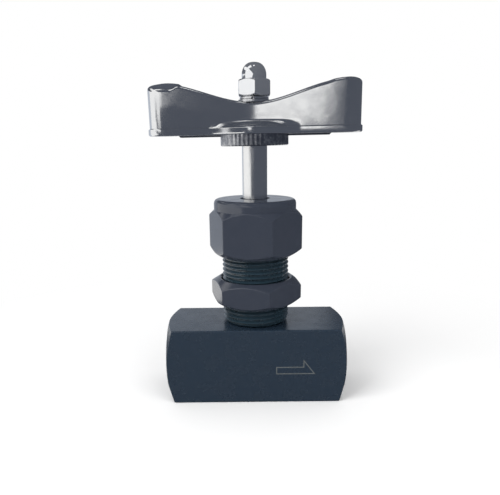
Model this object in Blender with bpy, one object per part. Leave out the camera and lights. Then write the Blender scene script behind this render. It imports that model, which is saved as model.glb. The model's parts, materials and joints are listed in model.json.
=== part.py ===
"""Gauge isolation valve, drawn fully open.

A square bar body with two female ports lies along X. A bonnet with a long outside thread
screws into its top and carries a lock nut and the packing nut. The stem runs in the
bonnet's inside thread, carries a needle that swivels and doesn't turn on the seat, and
is turned by a die-cast bar handle under a cap nut.

Metres, +Z up. The origin is the middle of the body's underside, under the stem's axis.
Run it with blender --background --python part.py or from the text editor.
"""

import math

import bmesh
import bpy
from mathutils import Vector

MM = 0.001

# Fits between neighbours
SEAT_GAP = 0.3 * MM        # faces that rest on each other
THIN_GAP = 0.15 * MM       # the same between washers and packing rings
SLIDE_GAP = 0.3 * MM       # radial play round a piece in its bore
SCREW_GAP = 0.3 * MM       # radial play over a thread's crest

# Small edges and allowances
CUTTER_OVER = 1.0 * MM     # how far a cutter or blank stands past the face it makes
CORNER_OVER = 1.05         # a nut's turned blank clears its corners by this share
THREAD_MOUTH = 0.5 * MM    # chamfer of the nuts' threaded holes
RING_LEAD = 0.3 * MM
BONNET_LEAD = 0.5 * MM
WASHER_EDGE = 0.12 * MM

# Body
BAR_SIZE = 25.4 * MM
BAR_LENGTH = 59.5 * MM
BAR_EDGE = 0.35 * MM       # the drawn bar's rounded long edges
END_CHAMFER_ANGLE = math.radians(22.0)
END_FACE_INSET = 0.2 * MM  # the turned end face stops short of the flats
PORT_RADIUS = 6.6 * MM     # root of the 1/4 inch pipe thread
PORT_DEPTH = 14.0 * MM
PORT_MOUTH = 0.8 * MM
DRILL_POINT = math.radians(31.0)
INLET_RADIUS = 1.75 * MM
OUTLET_RADIUS = 1.8 * MM
INLET_DROP = 4.05 * MM     # start of the slanting inlet drilling under the ports' line
FEED_DROP = 8.2 * MM       # its end, in the feed hole, under the ports' line
FEED_DEPTH = 4.6 * MM      # the feed hole below the seat insert
FEED_RADIUS = 2.0 * MM

# Seat and chamber
CHAMBER_DROP = 2.25 * MM   # chamber floor under the ports' line
CHAMBER_RADIUS = 6.0 * MM
CHAMBER_HEIGHT = 4.0 * MM
INSERT_RADIUS = 4.5 * MM
INSERT_HEIGHT = 2.2 * MM
ORIFICE_RADIUS = 2.0 * MM
SEAT_MOUTH_RADIUS = 3.4 * MM

# Bonnet
NOSE_RADIUS = 7.0 * MM
NOSE_LENGTH = 5.0 * MM
NOSE_LEAD = 0.6 * MM
GROOVE_WALL = 1.0 * MM     # below the seal groove
GROOVE_DEPTH = 1.8 * MM
RING_SECTION = 1.4 * MM    # thickness of the sealing ring
BACKUP_HEIGHT = 0.85 * MM
ROOT_THREAD_RADIUS = 9.0 * MM
BONNET_RADIUS = 11.0 * MM  # crest of the M22 outside thread
BONNET_HEIGHT = 32.2 * MM
BONNET_CHAMFER = 0.9 * MM
PACKING_BOX_DEPTH = 12.5 * MM
PACKING_BOX_RADIUS = 7.3 * MM
STOP_WALL = 2.5 * MM

# Needle
NEEDLE_RADIUS = 3.5 * MM
NEEDLE_NOSE_RADIUS = 1.6 * MM
NEEDLE_TIP_RADIUS = 0.9 * MM
NEEDLE_NOSE_LENGTH = 2.0 * MM
SHANK_RADIUS = 2.2 * MM
SHANK_LENGTH = 4.8 * MM
RING_GROOVE_FROM_FACE = 1.6 * MM
WIRE_RADIUS = 0.4 * MM
BALL_RADIUS = 1.5 * MM

# Stem
STEM_PITCH = 1.5 * MM
FULL_TURNS = 5.0
STEM_RADIUS = 4.0 * MM
STEM_THREAD_RADIUS = 5.0 * MM
STEM_COLLAR_RADIUS = 4.6 * MM
STEM_COLLAR_LENGTH = 2.95 * MM  # from the stem's end to its thread
STEM_CHAMFER = 0.5 * MM
END_CLEARANCE = 0.6 * MM
EXPOSED_STEM = 16.55 * MM  # bright stem between packing nut and handle, open
SQUARE_SIZE = 5.6 * MM
STUD_RADIUS = 2.5 * MM
STUD_IN_NUT = 4.6 * MM

# Packing and gland
SUPPORT_BASE = 1.2 * MM
CHEVRON_RISE = 1.2 * MM
CHEVRON_THICKNESS = 1.3 * MM
CHEVRON_COUNT = 3
HEADER_BASE = 1.2 * MM
GLAND_TUBE = 5.0 * MM
GLAND_FLANGE_HEIGHT = 1.8 * MM
GLAND_FLANGE_RADIUS = 9.3 * MM

# Packing nut and lock nut
NUT_FLATS = 27.0 * MM
PACKING_NUT_HEIGHT = 18.4 * MM
PACKING_NUT_ROOF = 5.7 * MM
COLLAR_RADIUS = 13.4 * MM
COLLAR_HEIGHT = 3.5 * MM
COLLAR_EDGE = 1.6 * MM
SHOULDER_HEIGHT = 2.1 * MM
NUT_CHAMFER_HEIGHT = 2.2 * MM
NUT_FACE_RADIUS = 12.0 * MM
STEM_HOLE_PLAY = 0.45 * MM
PACKING_NUT_YAW = math.radians(-11.0)
LOCK_NUT_HEIGHT = 8.8 * MM
LOCK_NUT_LIFT = 6.35 * MM  # clear of the body's top at rest
LOCK_NUT_CHAMFER_HEIGHT = 2.2 * MM
LOCK_NUT_YAW = math.radians(-14.4)

# Handle
HANDLE_LENGTH = 67.0 * MM
HANDLE_YAW = math.radians(-4.5)
HANDLE_TILT = math.radians(-0.65)  # it sits a little crooked on the square
WAIST_HALF_DEPTH = 5.0 * MM
WAIST_SOFTNESS = 4.0 * MM
LOBE_HALF_DEPTH = 8.5 * MM
LOBE_END = 3.7 * MM        # the rounded end, from the wall's corner to the tip
CORNER_REACH = 2.0 * MM
BOSS_RADIUS = 10.7 * MM
BOSS_HEIGHT = 3.45 * MM
SHAFT_RECESS = 3.0 * MM    # round recess in the boss, down to the square hole
FLUTE_COUNT = 48
FLUTE_DEPTH = 0.25 * MM
HUB_BULGE = 6.2 * MM       # how far the hub's skirt stands out of the waist
HUB_REACH = 14.5 * MM      # where the skirt runs out along the handle
HUB_HEIGHT = 4.1 * MM
LIP_HEIGHT = 2.1 * MM
LIP_STEP = 0.45 * MM
LIP_EDGE = 0.5 * MM
LIP_CREASE = 0.2 * MM
SADDLE_HEIGHT = 9.5 * MM   # underside to the middle of the top
LOBE_RISE = 5.75 * MM
CREST_FROM_TIP = 4.7 * MM  # where the top is highest
LEFT_LEAN = 1.65 * MM      # the left lobe's rear edge over the middle of its top
RIGHT_LEAN = -0.35 * MM    # the same for the right lobe, whose front edge is the higher
LEAN_FROM_TIP = 11.0 * MM  # where the lobes' tops start to lean
LEAN_RUN = 2.0 * MM        # how soon they lean in full
TOP_EDGE = 1.5 * MM
SPOT_FACE_PLAY = 0.5 * MM
SPOT_FACE_SINK = 0.2 * MM
RIB_WIDTH = 2.4 * MM
RIB_DROP = 0.6 * MM        # the underside rib stands below the lip
RIB_FROM_TIP = 9.5 * MM
POCKET_START = 13.0 * MM
POCKET_FROM_TIP = 5.5 * MM
WALL_THICKNESS = 1.8 * MM
TOP_THICKNESS = 2.6 * MM
POCKET_LEAN = 0.4 * MM     # draft of the pockets' walls

# Washers and cap nut on the handle
WASHER_RADIUS = 5.0 * MM
WASHER_THICKNESS = 0.8 * MM
SPRING_WASHER_RADIUS = 4.5 * MM
SPRING_WASHER_THICKNESS = 0.6 * MM
SPRING_WASHER_SPLIT = math.radians(14.0)
SPLIT_YAW = math.radians(-95.0)
ACORN_FLATS = 9.6 * MM
ACORN_HEX_HEIGHT = 5.1 * MM
ACORN_DOME_RADIUS = 3.8 * MM
ACORN_NECK = 1.2 * MM
ACORN_DOME_HEIGHT = 3.75 * MM
ACORN_DOME_FULLNESS = 0.8  # below 1 the dome is fuller than a ball
ACORN_CHAMFER_HEIGHT = 0.7 * MM
ACORN_FACE_SHARE = 0.95    # its flat face's radius over half its flats
ACORN_YAW = math.radians(32.0)

# Facets round a circle
LARGE = 48
MEDIUM = 36
SMALL = 26
TINY = 16

# Places along the handle, from its middle
LOBE_CORNER = HANDLE_LENGTH / 2 - LOBE_END
LOBE_CREST = HANDLE_LENGTH / 2 - CREST_FROM_TIP
LEAN_START = HANDLE_LENGTH / 2 - LEAN_FROM_TIP
RIB_REACH = HANDLE_LENGTH / 2 - RIB_FROM_TIP
POCKET_END = HANDLE_LENGTH / 2 - POCKET_FROM_TIP

# Heights worked out from the sizes, with the valve open
TRAVEL = STEM_PITCH * FULL_TURNS
PORT_LINE = BAR_SIZE / 2
CHAMBER_FLOOR = PORT_LINE - CHAMBER_DROP
INSERT_POCKET = CHAMBER_FLOOR - INSERT_HEIGHT - SEAT_GAP
NOSE_FLOOR = CHAMBER_FLOOR + CHAMBER_HEIGHT
ROOT_THREAD_FLOOR = NOSE_FLOOR + NOSE_LENGTH
BONNET_SHOULDER = BAR_SIZE + SEAT_GAP
BONNET_TOP = BONNET_SHOULDER + BONNET_HEIGHT
BOX_FLOOR = BONNET_TOP - PACKING_BOX_DEPTH
STOP_FACE = BOX_FLOOR - STOP_WALL
NOSE_STEP = ROOT_THREAD_FLOOR + NOSE_LEAD
STEM_END = NOSE_STEP + END_CLEARANCE + TRAVEL
STEM_HOLE_RADIUS = STEM_RADIUS + SLIDE_GAP
SOCKET_RADIUS = SHANK_RADIUS + SLIDE_GAP
SEAT_CONE_GAP = SEAT_GAP * math.sqrt(2.0)
NEEDLE_SHOULDER = CHAMBER_FLOOR + (NEEDLE_RADIUS - SEAT_MOUTH_RADIUS) + SEAT_CONE_GAP + TRAVEL
NEEDLE_FACE = STEM_END - SEAT_GAP
BALL_HEIGHT = NEEDLE_FACE + SHANK_LENGTH + THIN_GAP + BALL_RADIUS
SOCKET_TOP = BALL_HEIGHT + BALL_RADIUS + THIN_GAP
RING_HEIGHT = STEM_END + RING_GROOVE_FROM_FACE + WIRE_RADIUS + THIN_GAP
CHEVRON_PITCH = CHEVRON_THICKNESS + THIN_GAP
SUPPORT_FOOT = BOX_FLOOR + THIN_GAP
FIRST_CHEVRON = SUPPORT_FOOT + SUPPORT_BASE + THIN_GAP
HEADER_FOOT = FIRST_CHEVRON + CHEVRON_COUNT * CHEVRON_PITCH
HEADER_TOP = HEADER_FOOT + CHEVRON_RISE + HEADER_BASE
GLAND_FOOT = HEADER_TOP + THIN_GAP
GLAND_TOP = GLAND_FOOT + GLAND_TUBE + GLAND_FLANGE_HEIGHT
NUT_ROOF_FACE = GLAND_TOP + SEAT_GAP
PACKING_NUT_TOP = NUT_ROOF_FACE + PACKING_NUT_ROOF
PACKING_NUT_FOOT = PACKING_NUT_TOP - PACKING_NUT_HEIGHT
LOCK_NUT_FOOT = BAR_SIZE + LOCK_NUT_LIFT
BOSS_FOOT = PACKING_NUT_TOP + EXPOSED_STEM
HANDLE_FOOT = BOSS_FOOT + BOSS_HEIGHT
STEM_SHOULDER = BOSS_FOOT + SHAFT_RECESS - SEAT_GAP
SPOT_FACE = HANDLE_FOOT + SADDLE_HEIGHT - SPOT_FACE_SINK
WASHER_FOOT = SPOT_FACE + THIN_GAP
SPRING_WASHER_FOOT = WASHER_FOOT + WASHER_THICKNESS + THIN_GAP
ACORN_FOOT = SPRING_WASHER_FOOT + SPRING_WASHER_THICKNESS + THIN_GAP


def clear_scene():
    """Remove whatever the open file holds."""
    for old in list(bpy.data.objects):
        bpy.data.objects.remove(old, do_unlink=True)


def finish(name, colour, metallic, roughness):
    """A Principled material."""
    material = bpy.data.materials.new(name)
    material.use_nodes = True
    shader = material.node_tree.nodes["Principled BSDF"]
    shader.inputs["Base Color"].default_value = (*colour, 1.0)
    shader.inputs["Metallic"].default_value = metallic
    shader.inputs["Roughness"].default_value = roughness
    return material


def axis_frame(name, parent=None):
    """An empty on the stem's axis, for the pieces that move together."""
    frame = bpy.data.objects.new(name, None)
    frame.empty_display_size = 10 * MM
    frame.parent = parent
    bpy.context.scene.collection.objects.link(frame)
    return frame


def place(name, bm, material=None, height=0.0, parent=None, yaw=0.0):
    """Turn a bmesh into a named object that stands at a height on the stem's axis."""
    bmesh.ops.recalc_face_normals(bm, faces=bm.faces)
    mesh = bpy.data.meshes.new(name)
    bm.to_mesh(mesh)
    bm.free()
    mesh.shade_smooth()
    mesh.set_sharp_from_angle(angle=math.radians(32.0))
    piece = bpy.data.objects.new(name, mesh)
    if material is not None:
        mesh.materials.append(material)
    piece.location = (0.0, 0.0, height)
    piece.rotation_euler = (0.0, 0.0, yaw)
    piece.parent = parent
    bpy.context.scene.collection.objects.link(piece)
    return piece


def tool(name, bm, height=0.0, parent=None, yaw=0.0):
    """A cutter or a blank for a Boolean, which isn't part of the valve."""
    piece = place(name, bm, height=height, parent=parent, yaw=yaw)
    piece.hide_render = True
    piece.display_type = 'WIRE'
    return piece


def combine(piece, other, operation):
    """Join, cut or trim a piece by another with an exact Boolean."""
    step = piece.modifiers.new(other.name, 'BOOLEAN')
    step.operation = operation
    step.solver = 'EXACT'
    step.object = other


def soften(section, steps=3):
    """Round the corners of a section whose points carry a third value, their reach."""
    points = []
    count = len(section)
    for index, corner in enumerate(section):
        if len(corner) == 2:
            points.append(corner)
            continue
        here = Vector(corner[:2])
        back = Vector(section[index - 1][:2]) - here
        ahead = Vector(section[(index + 1) % count][:2]) - here
        start = here + back.normalized() * corner[2]
        end = here + ahead.normalized() * corner[2]
        for step in range(steps + 1):
            t = step / steps
            point = start * (1 - t) ** 2 + here * 2 * t * (1 - t) + end * t ** 2
            points.append((point.x, point.y))
    return points


def turned(section, facets, corner_steps=3):
    """Spin a closed section of (radius, height) points about the axis.

    An edge that lies on the axis itself is left out, which makes the shape solid there.
    """
    bm = bmesh.new()
    points = soften(section, corner_steps)
    verts = [bm.verts.new((radius, 0.0, height)) for radius, height in points]
    pairs = zip(verts, verts[1:] + verts[:1])
    edges = [bm.edges.new(pair) for pair in pairs if pair[0].co.x + pair[1].co.x > 0.0]
    bmesh.ops.spin(bm, geom=verts + edges, cent=(0.0, 0.0, 0.0), axis=(0.0, 0.0, 1.0),
                   angle=math.tau, steps=facets)
    bmesh.ops.remove_doubles(bm, verts=bm.verts, dist=1e-7)
    return bm


def prism(outline, low, high):
    """Extrude a plan outline from one height to another."""
    bm = bmesh.new()
    base = bm.faces.new([bm.verts.new((x, y, low)) for x, y in outline])
    grown = bmesh.ops.extrude_face_region(bm, geom=[base])
    top = [part for part in grown["geom"] if isinstance(part, bmesh.types.BMVert)]
    bmesh.ops.translate(bm, verts=top, vec=(0.0, 0.0, high - low))
    return bm


def polygon(flats, sides):
    """A regular polygon's corners from its size across the flats, one flat at -Y."""
    radius = flats / 2 / math.cos(math.pi / sides)
    turns = [math.tau * (index + 0.5) / sides - math.pi / 2 for index in range(sides)]
    return [(radius * math.cos(turn), radius * math.sin(turn)) for turn in turns]


def drilling(start, end, radius, facets):
    """A round hole's cutter from one point to another."""
    start = Vector(start)
    end = Vector(end)
    run = end - start
    bm = bmesh.new()
    bmesh.ops.create_cone(bm, cap_ends=True, segments=facets, radius1=radius,
                          radius2=radius, depth=run.length)
    bmesh.ops.rotate(bm, verts=bm.verts, cent=(0.0, 0.0, 0.0),
                     matrix=run.to_track_quat('Z', 'Y').to_matrix())
    bmesh.ops.translate(bm, verts=bm.verts, vec=(start + end) / 2)
    return bm


def lay_along_x(bm):
    """Tip a turned shape from the Z axis on to the X axis."""
    bmesh.ops.rotate(bm, verts=bm.verts, cent=(0.0, 0.0, 0.0),
                     matrix=Vector((1.0, 0.0, 0.0)).to_track_quat('Z', 'Y').to_matrix())
    return bm


def body_blank():
    """The bar's turned envelope: round end faces with a cone that cuts its corners."""
    face_radius = BAR_SIZE / 2 - END_FACE_INSET
    beyond = BAR_SIZE
    slope = (beyond - face_radius) * math.tan(END_CHAMFER_ANGLE)
    end = BAR_LENGTH / 2
    section = [(0.0, -end), (face_radius, -end), (beyond, slope - end),
               (beyond, end - slope), (face_radius, end), (0.0, end)]
    return tool("body_envelope", lay_along_x(turned(section, LARGE)), height=PORT_LINE)


def port_cutter(name, side):
    """One port: thread bore, mouth chamfer and the drill's pointed end."""
    mouth = BAR_LENGTH / 2
    floor = mouth - PORT_DEPTH
    point = PORT_RADIUS * math.tan(DRILL_POINT)
    over = CUTTER_OVER
    section = [(0.0, floor - point), (PORT_RADIUS, floor),
               (PORT_RADIUS, mouth - PORT_MOUTH),
               (PORT_RADIUS + PORT_MOUTH, mouth),
               (PORT_RADIUS + PORT_MOUTH, mouth + over), (0.0, mouth + over)]
    bm = lay_along_x(turned(section, MEDIUM))
    if side < 0:
        bmesh.ops.scale(bm, verts=bm.verts, vec=(-1.0, 1.0, 1.0))
    return tool(name, bm, height=PORT_LINE)


def bonnet_cavity():
    """Everything bored from the top of the body, in one section."""
    pocket_radius = INSERT_RADIUS + SLIDE_GAP
    nose_radius = NOSE_RADIUS + SLIDE_GAP
    thread_radius = ROOT_THREAD_RADIUS + SCREW_GAP
    over = BAR_SIZE + CUTTER_OVER
    section = [(0.0, INSERT_POCKET - FEED_DEPTH), (FEED_RADIUS, INSERT_POCKET - FEED_DEPTH),
               (FEED_RADIUS, INSERT_POCKET), (pocket_radius, INSERT_POCKET),
               (pocket_radius, CHAMBER_FLOOR), (CHAMBER_RADIUS, CHAMBER_FLOOR),
               (CHAMBER_RADIUS, NOSE_FLOOR), (nose_radius, NOSE_FLOOR),
               (nose_radius, ROOT_THREAD_FLOOR), (thread_radius, ROOT_THREAD_FLOOR),
               (thread_radius, BAR_SIZE - BONNET_CHAMFER / 2),
               (thread_radius + BONNET_CHAMFER / 2, BAR_SIZE),
               (thread_radius + BONNET_CHAMFER / 2, over), (0.0, over)]
    return tool("bonnet_cavity", turned(section, MEDIUM))


def build_body(steel):
    """The square bar with turned ends, its ports, drillings and bonnet cavity."""
    half = BAR_SIZE / 2
    square = [(-half, -half), (half, -half), (half, half), (-half, half)]
    sawn_end = BAR_LENGTH / 2 + CUTTER_OVER
    blank = prism(square, -sawn_end, sawn_end)
    bmesh.ops.recalc_face_normals(blank, faces=blank.faces)
    long_edges = [edge for edge in blank.edges
                  if abs(edge.verts[0].co.z - edge.verts[1].co.z) > BAR_LENGTH / 2]
    bmesh.ops.bevel(blank, geom=long_edges, offset=BAR_EDGE, segments=2, profile=0.5,
                    affect='EDGES')
    body = place("valve_body", lay_along_x(blank), steel, height=PORT_LINE)
    combine(body, body_blank(), 'INTERSECT')
    combine(body, port_cutter("inlet_port_bore", -1), 'DIFFERENCE')
    combine(body, port_cutter("outlet_port_bore", 1), 'DIFFERENCE')
    combine(body, bonnet_cavity(), 'DIFFERENCE')
    port_floor = BAR_LENGTH / 2 - PORT_DEPTH
    inlet = drilling((-port_floor - INLET_RADIUS, 0.0, PORT_LINE - INLET_DROP),
                     (0.0, 0.0, PORT_LINE - FEED_DROP), INLET_RADIUS, TINY)
    combine(body, tool("inlet_drilling", inlet), 'DIFFERENCE')
    outlet_height = CHAMBER_FLOOR + CHAMBER_HEIGHT / 2
    outlet = drilling((CHAMBER_RADIUS / 2, 0.0, outlet_height),
                      (port_floor + OUTLET_RADIUS, 0.0, outlet_height),
                      OUTLET_RADIUS, TINY)
    combine(body, tool("outlet_drilling", outlet), 'DIFFERENCE')
    return body


def build_seat(steel):
    """The hardened ring that the needle closes on."""
    cone = SEAT_MOUTH_RADIUS - ORIFICE_RADIUS
    lead = RING_LEAD
    section = [(ORIFICE_RADIUS, 0.0), (INSERT_RADIUS - lead, 0.0), (INSERT_RADIUS, lead),
               (INSERT_RADIUS, INSERT_HEIGHT), (SEAT_MOUTH_RADIUS, INSERT_HEIGHT),
               (ORIFICE_RADIUS, INSERT_HEIGHT - cone)]
    place("seat_insert", turned(section, SMALL), steel, height=INSERT_POCKET + SEAT_GAP)


def build_bonnet(steel):
    """The long threaded sleeve: sealed nose, root thread, panel thread, packing box."""
    foot = NOSE_FLOOR + SEAT_GAP
    groove_low = foot + GROOVE_WALL
    groove_high = groove_low + RING_SECTION + BACKUP_HEIGHT + 5 * THIN_GAP
    groove_radius = NOSE_RADIUS - GROOVE_DEPTH
    guide = NEEDLE_RADIUS + SLIDE_GAP
    bore = STEM_THREAD_RADIUS + SCREW_GAP
    lead = BONNET_LEAD
    section = [(guide, foot), (NOSE_RADIUS - lead, foot), (NOSE_RADIUS, foot + lead),
               (NOSE_RADIUS, groove_low), (groove_radius, groove_low),
               (groove_radius, groove_high), (NOSE_RADIUS, groove_high),
               (NOSE_RADIUS, ROOT_THREAD_FLOOR + SEAT_GAP),
               (ROOT_THREAD_RADIUS - lead, ROOT_THREAD_FLOOR + SEAT_GAP),
               (ROOT_THREAD_RADIUS, ROOT_THREAD_FLOOR + SEAT_GAP + lead),
               (ROOT_THREAD_RADIUS, BONNET_SHOULDER),
               (BONNET_RADIUS - BONNET_CHAMFER, BONNET_SHOULDER),
               (BONNET_RADIUS, BONNET_SHOULDER + BONNET_CHAMFER),
               (BONNET_RADIUS, BONNET_TOP - BONNET_CHAMFER),
               (BONNET_RADIUS - BONNET_CHAMFER, BONNET_TOP),
               (PACKING_BOX_RADIUS, BONNET_TOP), (PACKING_BOX_RADIUS, BOX_FLOOR),
               (STEM_HOLE_RADIUS, BOX_FLOOR), (STEM_HOLE_RADIUS, STOP_FACE),
               (bore, STOP_FACE), (bore, NOSE_STEP), (guide, NOSE_STEP)]
    place("bonnet", turned(section, MEDIUM), steel)
    return groove_low, groove_radius


def build_bonnet_seals(rubber, plastic, groove_low, groove_radius):
    """The sealing ring and its backup ring in the bonnet's nose."""
    middle = (groove_radius + NOSE_RADIUS + SLIDE_GAP) / 2
    ring = RING_SECTION / 2
    circle = [(middle + ring * math.cos(math.tau * step / 10),
               ring * math.sin(math.tau * step / 10)) for step in range(10)]
    ring_height = groove_low + THIN_GAP + ring
    place("bonnet_o_ring", turned(circle, SMALL), rubber, height=ring_height)
    inner = groove_radius + SLIDE_GAP
    outer = NOSE_RADIUS
    backup = [(inner, 0.0), (outer, 0.0), (outer, BACKUP_HEIGHT), (inner, BACKUP_HEIGHT)]
    place("bonnet_backup_ring", turned(backup, SMALL), plastic,
          height=ring_height + ring + 2 * THIN_GAP)


def chevron(foot, thickness, flat_foot=False, flat_top=False):
    """A packing ring's section: a roof between the stem and the box wall.

    foot is the height of its lower corners. A flat foot makes the lower adaptor and a
    flat top the upper one.
    """
    inner = STEM_RADIUS + SLIDE_GAP
    outer = PACKING_BOX_RADIUS - SLIDE_GAP
    crown = (inner + outer) / 2
    low = [(inner, foot), (outer, foot)] if flat_foot else [
        (inner, foot), (crown, foot + CHEVRON_RISE), (outer, foot)]
    top = foot + thickness
    high = [(outer, top + CHEVRON_RISE), (inner, top + CHEVRON_RISE)] if flat_top else [
        (outer, top), (crown, top + CHEVRON_RISE), (inner, top)]
    return low + high


def build_packing(brass, plastic):
    """Lower adaptor, chevron rings and upper adaptor, from the box floor up."""
    lower = chevron(0.0, SUPPORT_BASE, flat_foot=True)
    place("packing_support_ring", turned(lower, SMALL), brass, height=SUPPORT_FOOT)
    for index in range(CHEVRON_COUNT):
        place(f"packing_ring_{index + 1}", turned(chevron(0.0, CHEVRON_THICKNESS), SMALL),
              plastic, height=FIRST_CHEVRON + index * CHEVRON_PITCH)
    upper = chevron(0.0, HEADER_BASE, flat_top=True)
    place("packing_header_ring", turned(upper, SMALL), brass, height=HEADER_FOOT)


def build_gland(brass):
    """The flanged bush through which the packing nut squeezes the packing."""
    inner = STEM_HOLE_RADIUS
    tube = PACKING_BOX_RADIUS - SLIDE_GAP
    top = GLAND_TUBE + GLAND_FLANGE_HEIGHT
    section = [(inner, 0.0), (tube, 0.0), (tube, GLAND_TUBE),
               (GLAND_FLANGE_RADIUS, GLAND_TUBE), (GLAND_FLANGE_RADIUS, top), (inner, top)]
    place("gland_follower", turned(section, SMALL), brass, height=GLAND_FOOT)


def build_packing_nut(steel):
    """A hexagon with a chamfered foot, a sloping shoulder and a round collar on top."""
    corner = NUT_FLATS / 2 / math.cos(math.pi / 6)
    beyond = corner * CORNER_OVER
    rise = NUT_CHAMFER_HEIGHT * (beyond - NUT_FACE_RADIUS) / (corner - NUT_FACE_RADIUS)
    collar_foot = PACKING_NUT_HEIGHT - COLLAR_HEIGHT
    slope_foot = collar_foot - SHOULDER_HEIGHT * (beyond - COLLAR_RADIUS) / (
        corner - COLLAR_RADIUS)
    thread = BONNET_RADIUS + SCREW_GAP
    recess = GLAND_FLANGE_RADIUS + 2 * SLIDE_GAP
    recess_foot = BONNET_TOP + SEAT_GAP - PACKING_NUT_FOOT
    roof = NUT_ROOF_FACE - PACKING_NUT_FOOT
    hole = STEM_RADIUS + STEM_HOLE_PLAY
    mouth = THREAD_MOUTH
    section = [(thread + mouth, 0.0), (NUT_FACE_RADIUS, 0.0), (beyond, rise),
               (beyond, slope_foot), (COLLAR_RADIUS, collar_foot),
               (COLLAR_RADIUS, PACKING_NUT_HEIGHT, COLLAR_EDGE),
               (hole + mouth, PACKING_NUT_HEIGHT), (hole, PACKING_NUT_HEIGHT - mouth),
               (hole, roof), (recess, roof), (recess, recess_foot),
               (thread, recess_foot), (thread, mouth)]
    hexagon = prism(polygon(NUT_FLATS, 6), -CUTTER_OVER, PACKING_NUT_HEIGHT + CUTTER_OVER)
    nut = place("packing_nut", hexagon, steel, height=PACKING_NUT_FOOT,
                yaw=PACKING_NUT_YAW)
    blank = tool("packing_nut_blank", turned(section, LARGE), height=PACKING_NUT_FOOT,
                 yaw=PACKING_NUT_YAW)
    combine(nut, blank, 'INTERSECT')


def build_lock_nut(steel, parent):
    """The thin nut on the bonnet's thread, chamfered on both faces."""
    corner = NUT_FLATS / 2 / math.cos(math.pi / 6)
    beyond = corner * CORNER_OVER
    rise = LOCK_NUT_CHAMFER_HEIGHT * (beyond - NUT_FACE_RADIUS) / (corner - NUT_FACE_RADIUS)
    bore = BONNET_RADIUS + SCREW_GAP
    mouth = THREAD_MOUTH
    top = LOCK_NUT_HEIGHT
    section = [(bore + mouth, 0.0), (NUT_FACE_RADIUS, 0.0), (beyond, rise),
               (beyond, top - rise), (NUT_FACE_RADIUS, top), (bore + mouth, top),
               (bore, top - mouth), (bore, mouth)]
    hexagon = prism(polygon(NUT_FLATS, 6), -CUTTER_OVER, top + CUTTER_OVER)
    nut = place("lock_nut", hexagon, steel, height=LOCK_NUT_FOOT, parent=parent,
                yaw=LOCK_NUT_YAW)
    blank = tool("lock_nut_blank", turned(section, LARGE), height=LOCK_NUT_FOOT,
                 parent=parent, yaw=LOCK_NUT_YAW)
    combine(nut, blank, 'INTERSECT')


def build_needle(steel, spring_steel, parent):
    """The needle that doesn't turn, with the ball it is pushed by and its wire ring."""
    groove = WIRE_RADIUS + THIN_GAP
    ring = RING_HEIGHT - NEEDLE_SHOULDER
    cone = NEEDLE_RADIUS - NEEDLE_NOSE_RADIUS
    face = NEEDLE_FACE - NEEDLE_SHOULDER
    groove_radius = SHANK_RADIUS - WIRE_RADIUS - THIN_GAP
    section = [(0.0, -cone - NEEDLE_NOSE_LENGTH),
               (NEEDLE_TIP_RADIUS, -cone - NEEDLE_NOSE_LENGTH),
               (NEEDLE_NOSE_RADIUS, -cone), (NEEDLE_RADIUS, 0.0), (NEEDLE_RADIUS, face),
               (SHANK_RADIUS, face), (SHANK_RADIUS, ring - groove),
               (groove_radius, ring - groove), (groove_radius, ring + groove),
               (SHANK_RADIUS, ring + groove), (SHANK_RADIUS, face + SHANK_LENGTH),
               (0.0, face + SHANK_LENGTH)]
    place("needle", turned(section, SMALL), steel, height=NEEDLE_SHOULDER, parent=parent)
    ball = bmesh.new()
    bmesh.ops.create_uvsphere(ball, u_segments=16, v_segments=10, radius=BALL_RADIUS)
    place("thrust_ball", ball, steel, height=BALL_HEIGHT, parent=parent)
    middle = SHANK_RADIUS + SLIDE_GAP / 2
    wire = [(middle + WIRE_RADIUS * math.cos(math.tau * step / 8),
             WIRE_RADIUS * math.sin(math.tau * step / 8)) for step in range(8)]
    place("needle_retaining_ring", turned(wire, SMALL), spring_steel, height=RING_HEIGHT,
          parent=parent)


def build_stem(steel, parent):
    """The spindle: needle socket, drive thread, bright shank, square and stud."""
    ring = RING_HEIGHT
    groove = WIRE_RADIUS + THIN_GAP
    groove_radius = SOCKET_RADIUS + WIRE_RADIUS + THIN_GAP
    thread_top = STOP_FACE - SEAT_GAP
    thread_foot = STEM_END + STEM_COLLAR_LENGTH
    bevel = STEM_CHAMFER
    square_top = SPOT_FACE - THIN_GAP
    stud_top = ACORN_FOOT + STUD_IN_NUT
    section = [(SOCKET_RADIUS, STEM_END), (STEM_COLLAR_RADIUS - bevel, STEM_END),
               (STEM_COLLAR_RADIUS, STEM_END + bevel), (STEM_COLLAR_RADIUS, thread_foot),
               (STEM_THREAD_RADIUS, thread_foot + bevel),
               (STEM_THREAD_RADIUS, thread_top - bevel),
               (STEM_THREAD_RADIUS - bevel, thread_top), (STEM_RADIUS, thread_top),
               (STEM_RADIUS, square_top), (STUD_RADIUS, square_top),
               (STUD_RADIUS, stud_top - bevel), (STUD_RADIUS - bevel, stud_top),
               (0.0, stud_top), (0.0, SOCKET_TOP), (SOCKET_RADIUS, SOCKET_TOP),
               (SOCKET_RADIUS, ring + groove), (groove_radius, ring + groove),
               (groove_radius, ring - groove), (SOCKET_RADIUS, ring - groove)]
    bm = turned(section, SMALL)
    stem = place("stem", bm, steel, parent=parent)
    flats = square_frame_cutter(STEM_SHOULDER, square_top, parent)
    combine(stem, flats, 'DIFFERENCE')


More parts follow.
